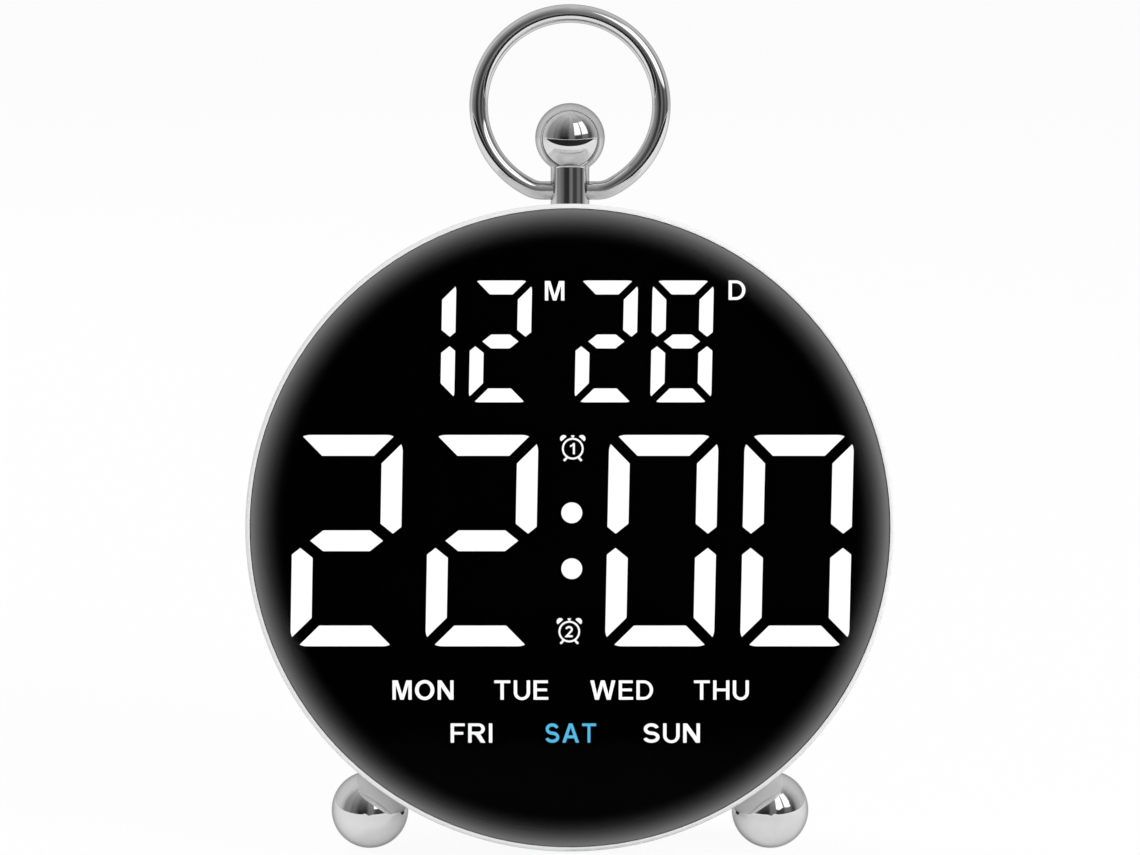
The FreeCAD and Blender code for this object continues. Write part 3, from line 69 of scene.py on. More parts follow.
class Value:
    """A socket, or a number, that takes part in sums written in Python."""

    def __init__(self, recipe: "Recipe", source: "bpy.types.NodeSocket | float") -> None:
        """Wrap one output socket of a recipe."""
        self.recipe = recipe
        self.source = source

    def _sum(self, operation: str, *others: "Value | float") -> "Value":
        """Add one Math node.

        Args:
            operation: Name of the Math node's operation.
            *others: The operands that follow this value.

        Returns:
            The node's result.
        """
        inputs = dict(enumerate((self, *others)))
        return self.recipe.node("ShaderNodeMath", {"operation": operation}, inputs)[0]

    def __add__(self, other: "Value | float") -> "Value":
        """Sum of two values."""
        return self._sum("ADD", other)

    __radd__ = __add__

    def __mul__(self, other: "Value | float") -> "Value":
        """Product of two values."""
        return self._sum("MULTIPLY", other)

    __rmul__ = __mul__

    def __sub__(self, other: "Value | float") -> "Value":
        """This value less another."""
        return self._sum("SUBTRACT", other)

    def __rsub__(self, other: float) -> "Value":
        """A number less this value."""
        return Value(self.recipe, other)._sum("SUBTRACT", self)

    def __truediv__(self, other: "Value | float") -> "Value":
        """This value divided by another."""
        return self._sum("DIVIDE", other)

    def __rtruediv__(self, other: float) -> "Value":
        """A number divided by this value."""
        return Value(self.recipe, other)._sum("DIVIDE", self)

    def __pow__(self, other: float) -> "Value":
        """This value raised to a power."""
        return self._sum("POWER", other)

    def above(self, other: "Value | float") -> "Value":
        """1 where this value is larger than another, else 0."""
        return self._sum("GREATER_THAN", other)

    def below(self, other: "Value | float") -> "Value":
        """1 where this value is smaller than another, else 0."""
        return self._sum("LESS_THAN", other)

    def larger(self, other: "Value | float") -> "Value":
        """The larger of two values."""
        return self._sum("MAXIMUM", other)

    def root(self) -> "Value":
        """Square root of this value."""
        return self._sum("SQRT")

    def sine(self) -> "Value":
        """Sine of this value in radians."""
        return self._sum("SINE")

    def angle_from(self, other: "Value") -> "Value":
        """Angle whose sine goes with this value and whose cosine with another."""
        return self._sum("ARCTAN2", other)

    def spread(
        self, low: float, high: float, to_low: float = 0.0, to_high: float = 1.0,
    ) -> "Value":
        """Spread a range of this value evenly over another range, held at its ends.

        Args:
            low: Value that gives to_low.
            high: Value that gives to_high.
            to_low: Result at low.
            to_high: Result at high.

        Returns:
            The spread value.
        """
        sockets = {
            "Value": self, "From Min": low, "From Max": high, "To Min": to_low, "To Max": to_high}
        return self.recipe.node("ShaderNodeMapRange", {"clamp": True}, sockets)[0]

    def eased(self, low: float, high: float) -> "Value":
        """A smooth step from 0 at low to 1 at high."""
        settings, ends = {"interpolation_type": "SMOOTHSTEP"}, {"From Min": low, "From Max": high}
        return self.recipe.node("ShaderNodeMapRange", settings, {"Value": self, **ends})[0]

    def within(self, opening: Range, closing: Range) -> "Value":
        """A band that eases in over one range and out over another."""
        return self.eased(*opening) * (1.0 - self.eased(*closing))


class Outputs:
    """The output sockets of one node, by number or name."""

    def __init__(self, recipe: "Recipe", node: bpy.types.Node) -> None:
        """Keep a node and the recipe that it belongs to."""
        self.recipe = recipe
        self.node = node

    def __getitem__(self, key: "int | str") -> Value:
        """One output as a value."""
        return Value(self.recipe, self.node.outputs[key])


@dataclass(frozen=True)
class Grain:
    """A soft noise: blots per metre, layers, roughness and stretch along each axis."""

    scale: float
    layers: float = 2.0
    roughness: float = 0.5
    stretch: tuple[float, float, float] | None = None


class Recipe:
    """The nodes of one material or of the world."""

    def __init__(self, tree: bpy.types.NodeTree) -> None:
        """Start from an empty node tree."""
        self.tree = tree
        self.tree.nodes.clear()

    def node(
        self, kind: str, settings: "dict | None" = None, sockets: "dict | None" = None,
    ) -> Outputs:
        """Add a node with its settings and then the values or links of its sockets.

        Args:
            kind: The node's type name.
            settings: Settings of the node; "stops" holds a ramp's (place, grey) pairs.
            sockets: Number, colour, vector or Value for each input, by number or name.

        Returns:
            The node's outputs.
        """
        made = self.tree.nodes.new(kind)
        for name, setting in (settings or {}).items():
            if name == "stops":
                self._set_stops(made.color_ramp, setting)
            else:
                setattr(made, name, setting)
        for key, given in (sockets or {}).items():
            entry = made.inputs[key]
            source = given.source if isinstance(given, Value) else given
            if isinstance(source, bpy.types.NodeSocket):
                self.tree.links.new(source, entry)
            elif entry.type == "RGBA":
                entry.default_value = (*source, 1.0)
            else:
                entry.default_value = source
        return Outputs(self, made)

    @staticmethod
    def _set_stops(ramp: bpy.types.ColorRamp, stops: Sequence[tuple[float, float]]) -> None:
        """Give a ramp its grey stops.

        Args:
            ramp: The ramp to set.
            stops: Place and grey level of each stop, in order.
        """
        while len(ramp.elements) < len(stops):
            ramp.elements.new(1.0)
        for element, (place, level) in zip(ramp.elements, stops):
            element.position = place
            element.color = (*grey(level), 1.0)

    def place(self, kind: str = "Object") -> Value:
        """Place of the shaded point in one of the kinds of coordinates."""
        return self.node("ShaderNodeTexCoord")[kind]

    def axes(self, vector: Value) -> tuple[Value, Value, Value]:
        """Split a vector into its three numbers."""
        parts = self.node("ShaderNodeSeparateXYZ", None, {0: vector})
        return parts[0], parts[1], parts[2]

    def noise(self, vector: Value, grain: Grain) -> Value:
        """Soft noise from 0 to 1.

        Args:
            vector: Where the noise is read.
            grain: Its size and build.

        Returns:
            The noise.
        """
        if grain.stretch:
            settings = {"operation": "MULTIPLY"}
            vector = self.node("ShaderNodeVectorMath", settings, {0: vector, 1: grain.stretch})[0]
        sockets = {
            "Vector": vector, "Scale": grain.scale, "Detail": grain.layers,
            "Roughness": grain.roughness}
        return self.node("ShaderNodeTexNoise", None, sockets)["Fac"]

    def blend(
        self, share: "Value | float", first: "Value | Colour", second: "Value | Colour",
    ) -> Value:
        """Mix two colours by a share.

        Args:
            share: 0 gives the first colour, 1 the second.
            first: A colour or a colour value.
            second: A colour or a colour value.

        Returns:
            The mixed colour.
        """
        sockets = {"Factor": share, 6: first, 7: second}
        return self.node("ShaderNodeMix", {"data_type": "RGBA"}, sockets)[2]

    def bump(self, height: Value, distance: float) -> Value:
        """A normal that follows a height from 0 to 1, whose full step is a distance."""
        return self.node("ShaderNodeBump", None, {"Distance": distance, "Height": height})["Normal"]

    def principled(self, **sockets: "Value | float | Colour") -> Value:
        """The main shader with its sockets given by name, words joined by low lines."""
        named = {name.replace("_", " "): given for name, given in sockets.items()}
        return self.node("ShaderNodeBsdfPrincipled", None, named)["BSDF"]

    def seen(self) -> Value:
        """1 where the camera sees a point straight or through a clear piece, else 0."""
        path = self.node("ShaderNodeLightPath")
        return path["Is Camera Ray"].larger(path["Is Transmission Ray"])

    def mirrored(self) -> Value:
        """1 where a point is seen in bright plating, else 0."""
        return self.node("ShaderNodeLightPath")["Is Glossy Ray"]


def grey(level: float) -> Colour:
    """A grey of this level."""
    return level, level, level


def shaded(colour: Colour, share: float) -> Colour:
    """A colour brought down to a share of itself."""
    return tuple(part * share for part in colour)


def scaled(size: float, shares: Range) -> Range:
    """A range given as shares of a size."""
    return size * shares[0], size * shares[1]


BLACK, WHITE = grey(0.0), grey(1.0)
MIDDLE = (0.3, 0.7)  # a noise has most of its values in this range


# Finishes

class Finish:
    """A material that is made once and then shared."""

    made: "ClassVar[dict[Finish, bpy.types.Material]]" = {}

    def material(self) -> bpy.types.Material:
        """The finish's material, made on its first use.

        Returns:
            The material, the same one each time.
        """
        if self not in Finish.made:
            material = bpy.data.materials.new(self.name)
            material.use_nodes = True
            recipe = Recipe(material.node_tree)
            recipe.node("ShaderNodeOutputMaterial", None, {"Surface": self.shader(recipe)})
            Finish.made[self] = material
        return Finish.made[self]

    def shader(self, recipe: Recipe) -> Value:
        """The finish's shader; each finish has its own."""
        raise NotImplementedError


@dataclass(frozen=True)
class MouldedPlastic(Finish):
    """Moulded plastic with a fine grain, slight clouding and uneven gloss."""

    name: str
    colour: Colour
    roughness: float = 0.28
    grain_size: float = 0.25 * MM
    grain_height: float = 0.002 * MM
    clouding: float = 0.03
    cloud: Grain = Grain(45.0, 3.0)
    smudge: Grain = Grain(160.0, 4.0, 0.6)
    gloss: Range = (0.88, 1.15)
    bend: float = 1.49

    def shader(self, recipe: Recipe) -> Value:
        """Clouded colour, smudged gloss and a moulded grain.

        Args:
            recipe: The material's recipe.

        Returns:
            The shader.
        """
        place = recipe.place()
        shade = shaded(self.colour, 1 - self.clouding)
        colour = recipe.blend(recipe.noise(place, self.cloud), shade, self.colour)
        smudge = recipe.noise(place, self.smudge)
        roughness = smudge.spread(*MIDDLE, *scaled(self.roughness, self.gloss))
        grain = recipe.noise(place, Grain(1.0 / self.grain_size))
        return recipe.principled(
            Base_Color=colour, Roughness=roughness, IOR=self.bend,
            Normal=recipe.bump(grain, self.grain_height))


@dataclass(frozen=True)
class Plating(Finish):
    """Bright plating over turned or bent metal, with faint wiping marks."""

    name: str
    colour: Colour = grey(0.76)
    # Tint of the reflection at grazing angles; chrome's, darker than its colour, is painted shade
    # along its outline
    rim: Colour = grey(0.45)
    roughness: float = 0.03
    wave_height: float = 0.004 * MM
    wave: Grain = Grain(260.0, 1.0)
    marks: Grain = Grain(900.0, 3.0, 0.7, (1.0, 1.0, 3.0))
    marked: Range = (0.35, 0.8)
    wiped: float = 2.2
    tarnish: Grain = Grain(220.0, 3.0)
    tarnished: Range = (0.35, 0.75)
    dulling: float = 0.94

    def shader(self, recipe: Recipe) -> Value:
        """Mirror metal whose gloss is broken by faint marks.

        Args:
            recipe: The material's recipe.

        Returns:
            The shader.
        """
        place = recipe.place()
        marks = recipe.noise(place, self.marks)
        tarnish = recipe.noise(place, self.tarnish).eased(*self.tarnished)
        return recipe.principled(
            Base_Color=recipe.blend(tarnish, self.colour, shaded(self.colour, self.dulling)),
            # The edge tint paints shade along the outline of the chrome parts
            Metallic=1.0, Specular_Tint=self.rim,
            Roughness=marks.spread(*self.marked, *scaled(self.roughness, (1.0, self.wiped))),
            Normal=recipe.bump(recipe.noise(place, self.wave), self.wave_height))


@dataclass(frozen=True)
class WorkedSteel(Finish):
    """Zinc or nickel over steel, with fine lines along one axis."""

    name: str
    colour: Colour = (0.56, 0.57, 0.58)
    roughness: float = 0.32
    lines: Grain = Grain(1500.0, 3.0, 0.5, (1.0, 1.0, 12.0))
    line_height: float = 0.003 * MM
    gloss: Range = (0.8, 1.3)
    stain: Grain = Grain(500.0)
    stained: Range = (0.4, 0.8)
    dulling: float = 0.7

    def shader(self, recipe: Recipe) -> Value:
        """Dull metal with fine worked lines and stains.

        Args:
            recipe: The material's recipe.

        Returns:
            The shader.
        """
        place = recipe.place()
        lines = recipe.noise(place, self.lines)
        stain = recipe.noise(place, self.stain).eased(*self.stained)
        return recipe.principled(
            Base_Color=recipe.blend(stain, self.colour, shaded(self.colour, self.dulling)),
            Metallic=1.0, Roughness=lines.spread(*MIDDLE, *scaled(self.roughness, self.gloss)),
            Normal=recipe.bump(lines, self.line_height))


@dataclass(frozen=True)
class SmokedWindow(Finish):
    """Smoked window with a painted reflection on its rolled edge, laid on as pale colour and glow.
    """

    name: str
    # haze and glow are a painted reflection: pale colour and emission that grow from clear_radius
    # to the rim
    clear_radius: float = 47.7 * MM
    painted_reflection_width: float = 6.4 * MM
    glow: float = 0.125
    haze: float = 0.075
    painted_reflection_power: float = 3.3
    painted_reflection_cover: float = 0.2
    smoke: float = 0.5
    shut_radius: float = 51.7 * MM
    shut_width: float = 0.3 * MM
    wiping: Grain = Grain(120.0, 3.0)
    gloss: Range = (0.06, 0.12)

    def shader(self, recipe: Recipe) -> Value:
        """Black smoke with a painted edge reflection, pale colour and glow that grow into the shut
        edge.

        Args:
            recipe: The material's recipe.

        Returns:
            The shader.
        """
        place = recipe.place()
        across, back, up = recipe.axes(place)
        _, by_back, by_up, start = INTO_CASE[2]
        level = back * by_back + up * by_up + start
        radius = (across * across + level * level).root()
        # Painted reflection: a share that grows towards the rolled edge
        haze = radius.spread(self.clear_radius, self.clear_radius + self.painted_reflection_width)
        haze = haze ** self.painted_reflection_power
        shut = radius.spread(self.shut_radius - self.shut_width, self.shut_radius)
        opacity = (haze * self.painted_reflection_cover + self.smoke).larger(shut)
        share = haze / opacity
        return recipe.principled(
            # The pale colour and the emission below paint the edge reflection
            Base_Color=recipe.blend(share * self.haze, BLACK, WHITE), Alpha=opacity,
            Roughness=recipe.noise(place, self.wiping).spread(*MIDDLE, *self.gloss),
            Emission_Color=recipe.blend(share * self.glow, BLACK, WHITE),
            Emission_Strength=1.0, IOR=1.4, Specular_IOR_Level=0.05)


@dataclass(frozen=True)
class ClearBack(Finish):
    """The window's rear face, which adds a trace of smoke to its front."""

    name: str
    smoke: Range = (0.048, 0.06)
    haze: Grain = Grain(90.0)

    def shader(self, recipe: Recipe) -> Value:
        """Nearly clear, with a trace of moulding haze.

        Args:
            recipe: The material's recipe.

        Returns:
            The shader.
        """
        haze = recipe.noise(recipe.place(), self.haze).spread(*MIDDLE, *self.smoke)
        return recipe.principled(
            Base_Color=BLACK, Roughness=0.4, Alpha=haze, IOR=1.1, Specular_IOR_Level=0.0)


@dataclass(frozen=True)
class PrintedFilm(Finish):
    """Black printed film with a fine dot of ink."""

    name: str
    black: float = 0.0007
    thin: float = 2.0
    ink: Grain = Grain(2500.0)
    gloss: Range = (0.75, 0.95)

    def shader(self, recipe: Recipe) -> Value:
        """Deep black ink, a little uneven.

        Args:
            recipe: The material's recipe.

        Returns:
            The shader.
        """
        ink = recipe.noise(recipe.place(), self.ink)
        colour = recipe.blend(ink, grey(self.black), grey(self.black * self.thin))
        return recipe.principled(
            Base_Color=colour, Roughness=ink.spread(*MIDDLE, *self.gloss), IOR=1.1,
            Specular_IOR_Level=0.05)


DIFFUSER = Grain(1400.0)


@dataclass(frozen=True)
class LitWindow(Finish):
    """A diffuser with its lamp on, faintly brighter over each speckle of the diffuser."""

    name: str
    colour: Colour = WHITE
    level: float = 2.25
    mottle: float = 0.03

    def shader(self, recipe: Recipe) -> Value:
        """Even light with a faint mottle.

        Args:
            recipe: The material's recipe.

        Returns:
            The shader.
        """
        mottle = recipe.noise(recipe.place(), DIFFUSER).eased(*MIDDLE)
        glow = recipe.blend(mottle, shaded(self.colour, 1 - self.mottle), self.colour)
        return recipe.principled(
            Base_Color=grey(0.02), Roughness=0.6, Emission_Color=glow,
            Emission_Strength=self.level)


@dataclass(frozen=True)
class DarkWindow(Finish):
    """A diffuser with its lamp off, seen through smoke."""

    name: str
    dark: float = 0.0008
    pale: float = 0.0016

    def shader(self, recipe: Recipe) -> Value:
        """Milky plastic darkened by the tint of its surface.

        Args:
            recipe: The material's recipe.

        Returns:
            The shader.
        """
        mottle = recipe.noise(recipe.place(), DIFFUSER)
        colour = recipe.blend(mottle, grey(self.dark), grey(self.pale))
        return recipe.principled(Base_Color=colour, Roughness=0.7, IOR=1.05)


@dataclass(frozen=True)
class SoftRubber(Finish):
    """Moulded rubber, matt, with dust in its pores."""

    name: str
    colour: Colour = (0.035, 0.035, 0.036)
    pores: Grain = Grain(2600.0, 3.0, 0.6)
    pore_depth: float = 0.012 * MM
    dust: Grain = Grain(420.0, 4.0)
    dusted: Range = (0.5, 0.8)
    paleness: float = 2.2
    dust_level: float = 0.01

    def shader(self, recipe: Recipe) -> Value:
        """Matt colour with pores and a little dust.

        Args:
            recipe: The material's recipe.

        Returns:
            The shader.
        """
        place = recipe.place()
        dusty = tuple(part * self.paleness + self.dust_level for part in self.colour)
        dust = recipe.noise(place, self.dust).eased(*self.dusted)
        return recipe.principled(
            Base_Color=recipe.blend(dust, self.colour, dusty), Roughness=0.78,
            Normal=recipe.bump(recipe.noise(place, self.pores), self.pore_depth),
            Sheen_Weight=0.15)


@dataclass(frozen=True)
class CircuitBoard(Finish):
    """Lacquered board with copper tracks under the lacquer."""

    name: str
    lacquer: Colour = (0.012, 0.1, 0.035)
    track: Colour = (0.03, 0.2, 0.06)
    tin: Colour = (0.6, 0.6, 0.58)
    tracks_per_metre: float = 260.0
    track_width: float = 0.07
    track_height: float = 0.02 * MM
    pads_per_metre: float = 420.0
    pad_size: float = 0.16

    def shader(self, recipe: Recipe) -> Value:
        """Green lacquer with paler tracks and tinned spots.

        Args:
            recipe: The material's recipe.

        Returns:
            The shader.
        """
        place = recipe.place()
        settings, sockets = {"feature": "DISTANCE_TO_EDGE"}, {"Vector": place}
        sockets["Scale"] = self.tracks_per_metre
        tracks = recipe.node("ShaderNodeTexVoronoi", settings, sockets)[0].below(self.track_width)
        sockets["Scale"] = self.pads_per_metre
        pads = recipe.node("ShaderNodeTexVoronoi", None, sockets)["Distance"].below(self.pad_size)
        return recipe.principled(
            Base_Color=recipe.blend(pads, recipe.blend(tracks, self.lacquer, self.track), self.tin),
            Metallic=pads, Roughness=0.3, Normal=recipe.bump(tracks, self.track_height))


@dataclass(frozen=True)
class FlatCable(Finish):
    """Flat cable with parallel wires under its skin."""

    name: str
    pitch: float = 1.27 * MM
    swell: float = 0.2 * MM
    # Painted shade between the wires and painted light on their tops
    valley_shade: Colour = (0.22, 0.22, 0.23)
    crest_light: Colour = (0.42, 0.42, 0.44)

    def shader(self, recipe: Recipe) -> Value:
        """Grey skin that swells over each wire, painted darker between the wires and paler on their
        tops.

        Args:
            recipe: The material's recipe.

        Returns:
            The shader.
        """
        across, _, _ = recipe.axes(recipe.place())
        ridge = (across * (2 * math.pi / self.pitch)).sine().spread(-1.0, 1.0)
        return recipe.principled(
            # Painted shade in the valleys and painted light on the crests, on top of the bump
            Base_Color=recipe.blend(ridge, self.valley_shade, self.crest_light), Roughness=0.45,
            Normal=recipe.bump(ridge, self.swell))


@dataclass(frozen=True)
class CellJacket(Finish):
    """Printed jacket of a battery cell with a band at one end."""

    name: str
    body: Colour = (0.03, 0.03, 0.035)
    band: Colour = (0.55, 0.4, 0.1)
    band_start: float = 11.0 * MM
    band_shine: float = 0.8
    ink: Grain = Grain(700.0, 3.0)
    thin: float = 0.8
    gloss: Range = (0.2, 0.35)

    def shader(self, recipe: Recipe) -> Value:
        """Dark jacket with a metallic band.

        Args:
            recipe: The material's recipe.

        Returns:
            The shader.
        """
        place = recipe.place()
        across, _, _ = recipe.axes(place)
        band = across.above(self.band_start)
        ink = recipe.noise(place, self.ink)
        jacket = recipe.blend(ink, shaded(self.body, self.thin), self.body)
        return recipe.principled(
            Base_Color=recipe.blend(band, jacket, self.band), Metallic=band * self.band_shine,
            Roughness=ink.spread(0.0, 1.0, *self.gloss))


@dataclass(frozen=True)
class PressedPaper(Finish):
    """Pressed black paper of a speaker cone, with long fibres."""

    name: str
    fibres: Grain = Grain(900.0, 4.0, 0.7, (1.0, 1.0, 6.0))
    fibre_height: float = 0.03 * MM
    dark: Colour = grey(0.02)
    pale: Colour = (0.07, 0.065, 0.06)

    def shader(self, recipe: Recipe) -> Value:
        """Fibres pressed flat.

        Args:
            recipe: The material's recipe.

        Returns:
            The shader.
        """
        fibres = recipe.noise(recipe.place(), self.fibres)
        return recipe.principled(
            Base_Color=recipe.blend(fibres, self.dark, self.pale), Roughness=0.85,
            Normal=recipe.bump(fibres, self.fibre_height))


@dataclass(frozen=True)
class TableTop(Finish):
    """White table that is the plain background and keeps the clock's shadow."""

    name: str
    cloth: Range = (0.9, 0.92)
    grain: Grain = Grain(30.0)
    seen_glow: float = 0.935
    mirrored_glow: float = 0.46

    def shader(self, recipe: Recipe) -> Value:
        """Matt cloth under a glow for the camera and a lesser one for the plating.

        Args:
            recipe: The material's recipe.

        Returns:
            The shader.
        """
        grain = recipe.noise(recipe.place(), self.grain)
        colour = recipe.blend(grain, grey(self.cloth[0]), grey(self.cloth[1]))
        cloth = recipe.principled(Base_Color=colour, Roughness=0.8, IOR=1.1)
        glow = recipe.node("ShaderNodeEmission", None, {"Color": WHITE, "Strength": 1.0})[0]
        share = (recipe.seen() * self.seen_glow).larger(recipe.mirrored() * self.mirrored_glow)
        return recipe.node("ShaderNodeMixShader", None, {0: share, 1: cloth, 2: glow})[0]


@dataclass(frozen=True)
class DarkFloor(Finish):
    """Dark floor in front of the table, seen only in the plating."""

    name: str
    shades: Range = (0.01, 0.03)
    grain: Grain = Grain(2.0)

    def shader(self, recipe: Recipe) -> Value:
        """Dark matt floor, a little uneven.

        Args:
            recipe: The material's recipe.

        Returns:
            The shader.
        """
        shade = recipe.noise(recipe.place(), self.grain)
        colour = recipe.blend(shade, grey(self.shades[0]), grey(self.shades[1]))
        return recipe.principled(Base_Color=colour, Roughness=0.9, IOR=1.05)


SHELL = MouldedPlastic("shell_white", (0.84, 0.84, 0.845), 0.24)
COVER = MouldedPlastic("cover_white", (0.82, 0.82, 0.825), 0.42, 0.35 * MM, 0.008 * MM)
KEY = MouldedPlastic("key_plastic", (0.52, 0.52, 0.53), 0.3, 0.3 * MM, 0.003 * MM)
NYLON = MouldedPlastic("plug_nylon", (0.72, 0.7, 0.62), 0.45)
BLACK_PLASTIC = MouldedPlastic("black_plastic", (0.02, 0.02, 0.021), 0.4, 0.3 * MM, 0.006 * MM)
INK = MouldedPlastic("legend_ink", (0.16, 0.16, 0.165), 0.5, 0.2 * MM, 0.001 * MM)
REFLECTOR = MouldedPlastic("reflector_white", (0.8, 0.8, 0.78), 0.6)
LAMP = MouldedPlastic("lamp_chip", (0.8, 0.72, 0.35), 0.35)
FOAM = SoftRubber("foam_tape", grey(0.02))
RUBBER = SoftRubber("pad_rubber")
CHROME = Plating("chrome_plate")
NICKEL = Plating("nickel_plate", (0.7, 0.69, 0.66), grey(0.8), 0.16, 0.01 * MM)
SCREW = WorkedSteel("screw_zinc")
PRESSED = WorkedSteel("speaker_steel", (0.12, 0.12, 0.125), 0.42)
WINDOW = SmokedWindow("smoked_window")
WINDOW_BACK = ClearBack("window_back")
BORDER = PrintedFilm("window_border", 0.0008)
FILM = PrintedFilm("printed_film")
LIT = LitWindow("lit_white")
LIT_BLUE = LitWindow("lit_blue", (0.08, 0.46, 0.73))
UNLIT = DarkWindow("unlit")
BOARD = CircuitBoard("board_green")
RIBBON = FlatCable("ribbon")
JACKET = CellJacket("cell_jacket")
PAPER = PressedPaper("cone_paper")
TABLE = TableTop("table_white")
FLOOR = DarkFloor("dark_floor")


# The case's frame

@dataclass(frozen=True)
class CaseFrame:
    """Where the leaned case stands, read from the ring's hinge and a key's axis."""

    pivot_depth: float = 17.0 * MM
    pivot_level: float = 57.5 * MM

    @property
    def matrix(self) -> Matrix:
        """The case's lean and place.

        Returns:
            The matrix from the case's own frame to the clock's.
        """
        joints = {joint["name"]: joint for joint in frame["joints"]}
        push = Vector(joints["set_press"]["axis"])
        lean = Matrix.Rotation(-math.atan2(push.z, -push.y), 4, "X")
        pivot = lean @ Vector((0.0, self.pivot_depth, self.pivot_level))
        return Matrix.Translation(Vector(joints["ring_swing"]["pos_m"]) - pivot) @ lean


CASE = CaseFrame().matrix
INTO_CASE = CASE.inverted()
FACING = Matrix.Rotation(-math.pi / 2, 4, "X")  # lays a turned shape's axis front to back


# Making pieces

def stand(name: str, data: bpy.types.ID) -> bpy.types.Object:
    """Put a new object into the scene.

    Args:
        name: The object's name.
        data: Its mesh, lamp or camera.

    Returns:
        The object.
    """
    item = bpy.data.objects.new(name, data)
    bpy.context.scene.collection.objects.link(item)
    return item


class Mesh:
    """Vertices and faces gathered in the case's own frame before they become a piece."""

    weld = 0.0005 * MM
    turn_steps = 288
    on_axis = 1e-9

    def __init__(self) -> None:
        """Start with nothing."""
        self.points: list[Vector] = []
        self.faces: list[list[int]] = []
        self.slots: list[int] = []

    def add(
        self, points: Iterable[Vector], faces: Iterable[Sequence[int]], slot: int = 0,
    ) -> None:
        """Add points, and faces that number them from 0.

        Args:
            points: New points.
            faces: Faces by number of the new points.
            slot: Material slot of the faces.
        """
        start = len(self.points)
        self.points.extend(points)
        for face in faces:
            self.faces.append([start + number for number in face])
            self.slots.append(slot)

    def plate(self, outlines: Sequence[Sequence[Point]], front: float, back: float) -> None:
        """Add a flat plate whose first outline is its edge and whose others are holes.

        Args:
            outlines: Closed outlines of (across, up) points.
            front: Depth of the front face.
            back: Depth of the rear face.
        """
        flat = [[Vector((across, up, 0.0)) for across, up in outline] for outline in outlines]
        cuts = tessellate_polygon(flat)
        rounds = [point for outline in outlines for point in outline]
        count = len(rounds)
        points = [Vector((across, depth, up)) for depth in (front, back) for across, up in rounds]
        faces = [list(cut) for cut in cuts] + [[number + count for number in cut] for cut in cuts]
        start = 0
        for outline in outlines:
            size = len(outline)
            for number in range(size):
                here, there = start + number, start + (number + 1) % size
                faces.append([here, there, there + count, here + count])
            start += size
        self.add(points, faces)

    def turn(self, profile: Sequence[Point], slot: int = 0) -> None:
        """Add a profile turned about the case's front-to-back axis.

        Args:
            profile: (radius, depth) points of the profile in order.
            slot: Material slot of the faces.
        """
        count = len(profile)
        points = []
        for step in range(self.turn_steps):
            turn = 2 * math.pi * step / self.turn_steps
            across, up = math.cos(turn), math.sin(turn)
            points.extend(
                FACING @ Vector((radius * across, radius * up, depth)) for radius, depth in profile)
        faces = []
        for stretch in range(count - 1):
            ends = profile[stretch][0], profile[stretch + 1][0]
            for step in range(self.turn_steps):
                here, there = step * count + stretch, (step + 1) % self.turn_steps * count + stretch
                face = [here, there, there + 1, here + 1]
                if min(ends) < self.on_axis:
                    face.pop(1 if ends[0] < self.on_axis else 2)
                faces.append(face)
        self.add(points, faces, slot)

    def piece(
        self, name: str, finishes: Sequence[Finish], body: str,
        replaces: Sequence[str] = (), sharp: float = 35.0, place: Matrix = CASE,
    ) -> None:
        """Turn what was gathered into a piece of the clock.

        Args:
            name: The piece's name.
            finishes: One finish for each material slot.
            body: Body that the piece rides on.
            replaces: Frame nodes that the piece stands for.
            sharp: Edges with a sharper turn than this, in degrees, stay crisp.
            place: Matrix of the piece.
        """
        mesh = bpy.data.meshes.new(name)
        mesh.from_pydata([tuple(point) for point in self.points], [], self.faces)
        work = bmesh.new()
        work.from_mesh(mesh)
        for face, number in zip(work.faces, self.slots):
            face.material_index = number
            face.smooth = True
        bmesh.ops.remove_doubles(work, verts=work.verts, dist=self.weld)
        bmesh.ops.recalc_face_normals(work, faces=work.faces)
        work.to_mesh(mesh)
        work.free()
        mesh.set_sharp_from_angle(angle=math.radians(sharp))
        for finish in finishes:
            mesh.materials.append(finish.material())
        item = stand(name, mesh)
        item.matrix_world = place
        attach(item, body)
        if replaces:
            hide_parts(*replaces)
        LOG.info("piece %s rides on %s", name, body)


def dress(node: str, finish: Finish) -> None:
    """Give a frame node a finish in all its material slots.

    Args:
        node: The node's name.
        finish: Its finish.
    """
    item = frame["nodes"][node]
    if not item.material_slots:
        item.data.materials.append(None)
    for slot in item.material_slots:
        slot.material = finish.material()
    LOG.info("node %s dressed as %s", node, finish.name)


class Assembly:
    """Nodes of the frame that keep their shape and are dressed together."""

    worn: ClassVar[dict[Finish, tuple[str, ...]]] = {}

    def build(self) -> None:
        """Dress every node of the assembly."""
        for finish, nodes in self.worn.items():
            for node in nodes:
                dress(node, finish)


# Lettering

# Letters are drawn 1 high. A stem is an upright stroke, and a beam is a level one.
STEM = 0.162
BEAM = 0.14
ROUND_STROKE = 0.165
WIDE_ROUND_STROKE = 0.17
SHARPEST = 0.3  # keeps the corner of a bent stroke short


def ellipse(
    centre: Point, across: float, up: float, start: float, end: float, steps: int = 24,
) -> Outline:
    """Points along part of an ellipse.

    Args:
        centre: Its centre.
        across: Half its width.
        up: Half its height.
        start: First angle in degrees.
        end: Last angle in degrees.
        steps: Number of stretches.

    Returns:
        The points, both ends among them.
    """
    turns = [math.radians(start + (end - start) * step / steps) for step in range(steps + 1)]
    return [(centre[0] + across * math.cos(turn), centre[1] + up * math.sin(turn))
            for turn in turns]


def loop(centre: Point, across: float, up: float, sides: int) -> Outline:
    """Closed outline of a whole ellipse with this many sides."""
    return ellipse(centre, across, up, 0.0, 360.0 - 360.0 / sides, sides - 1)


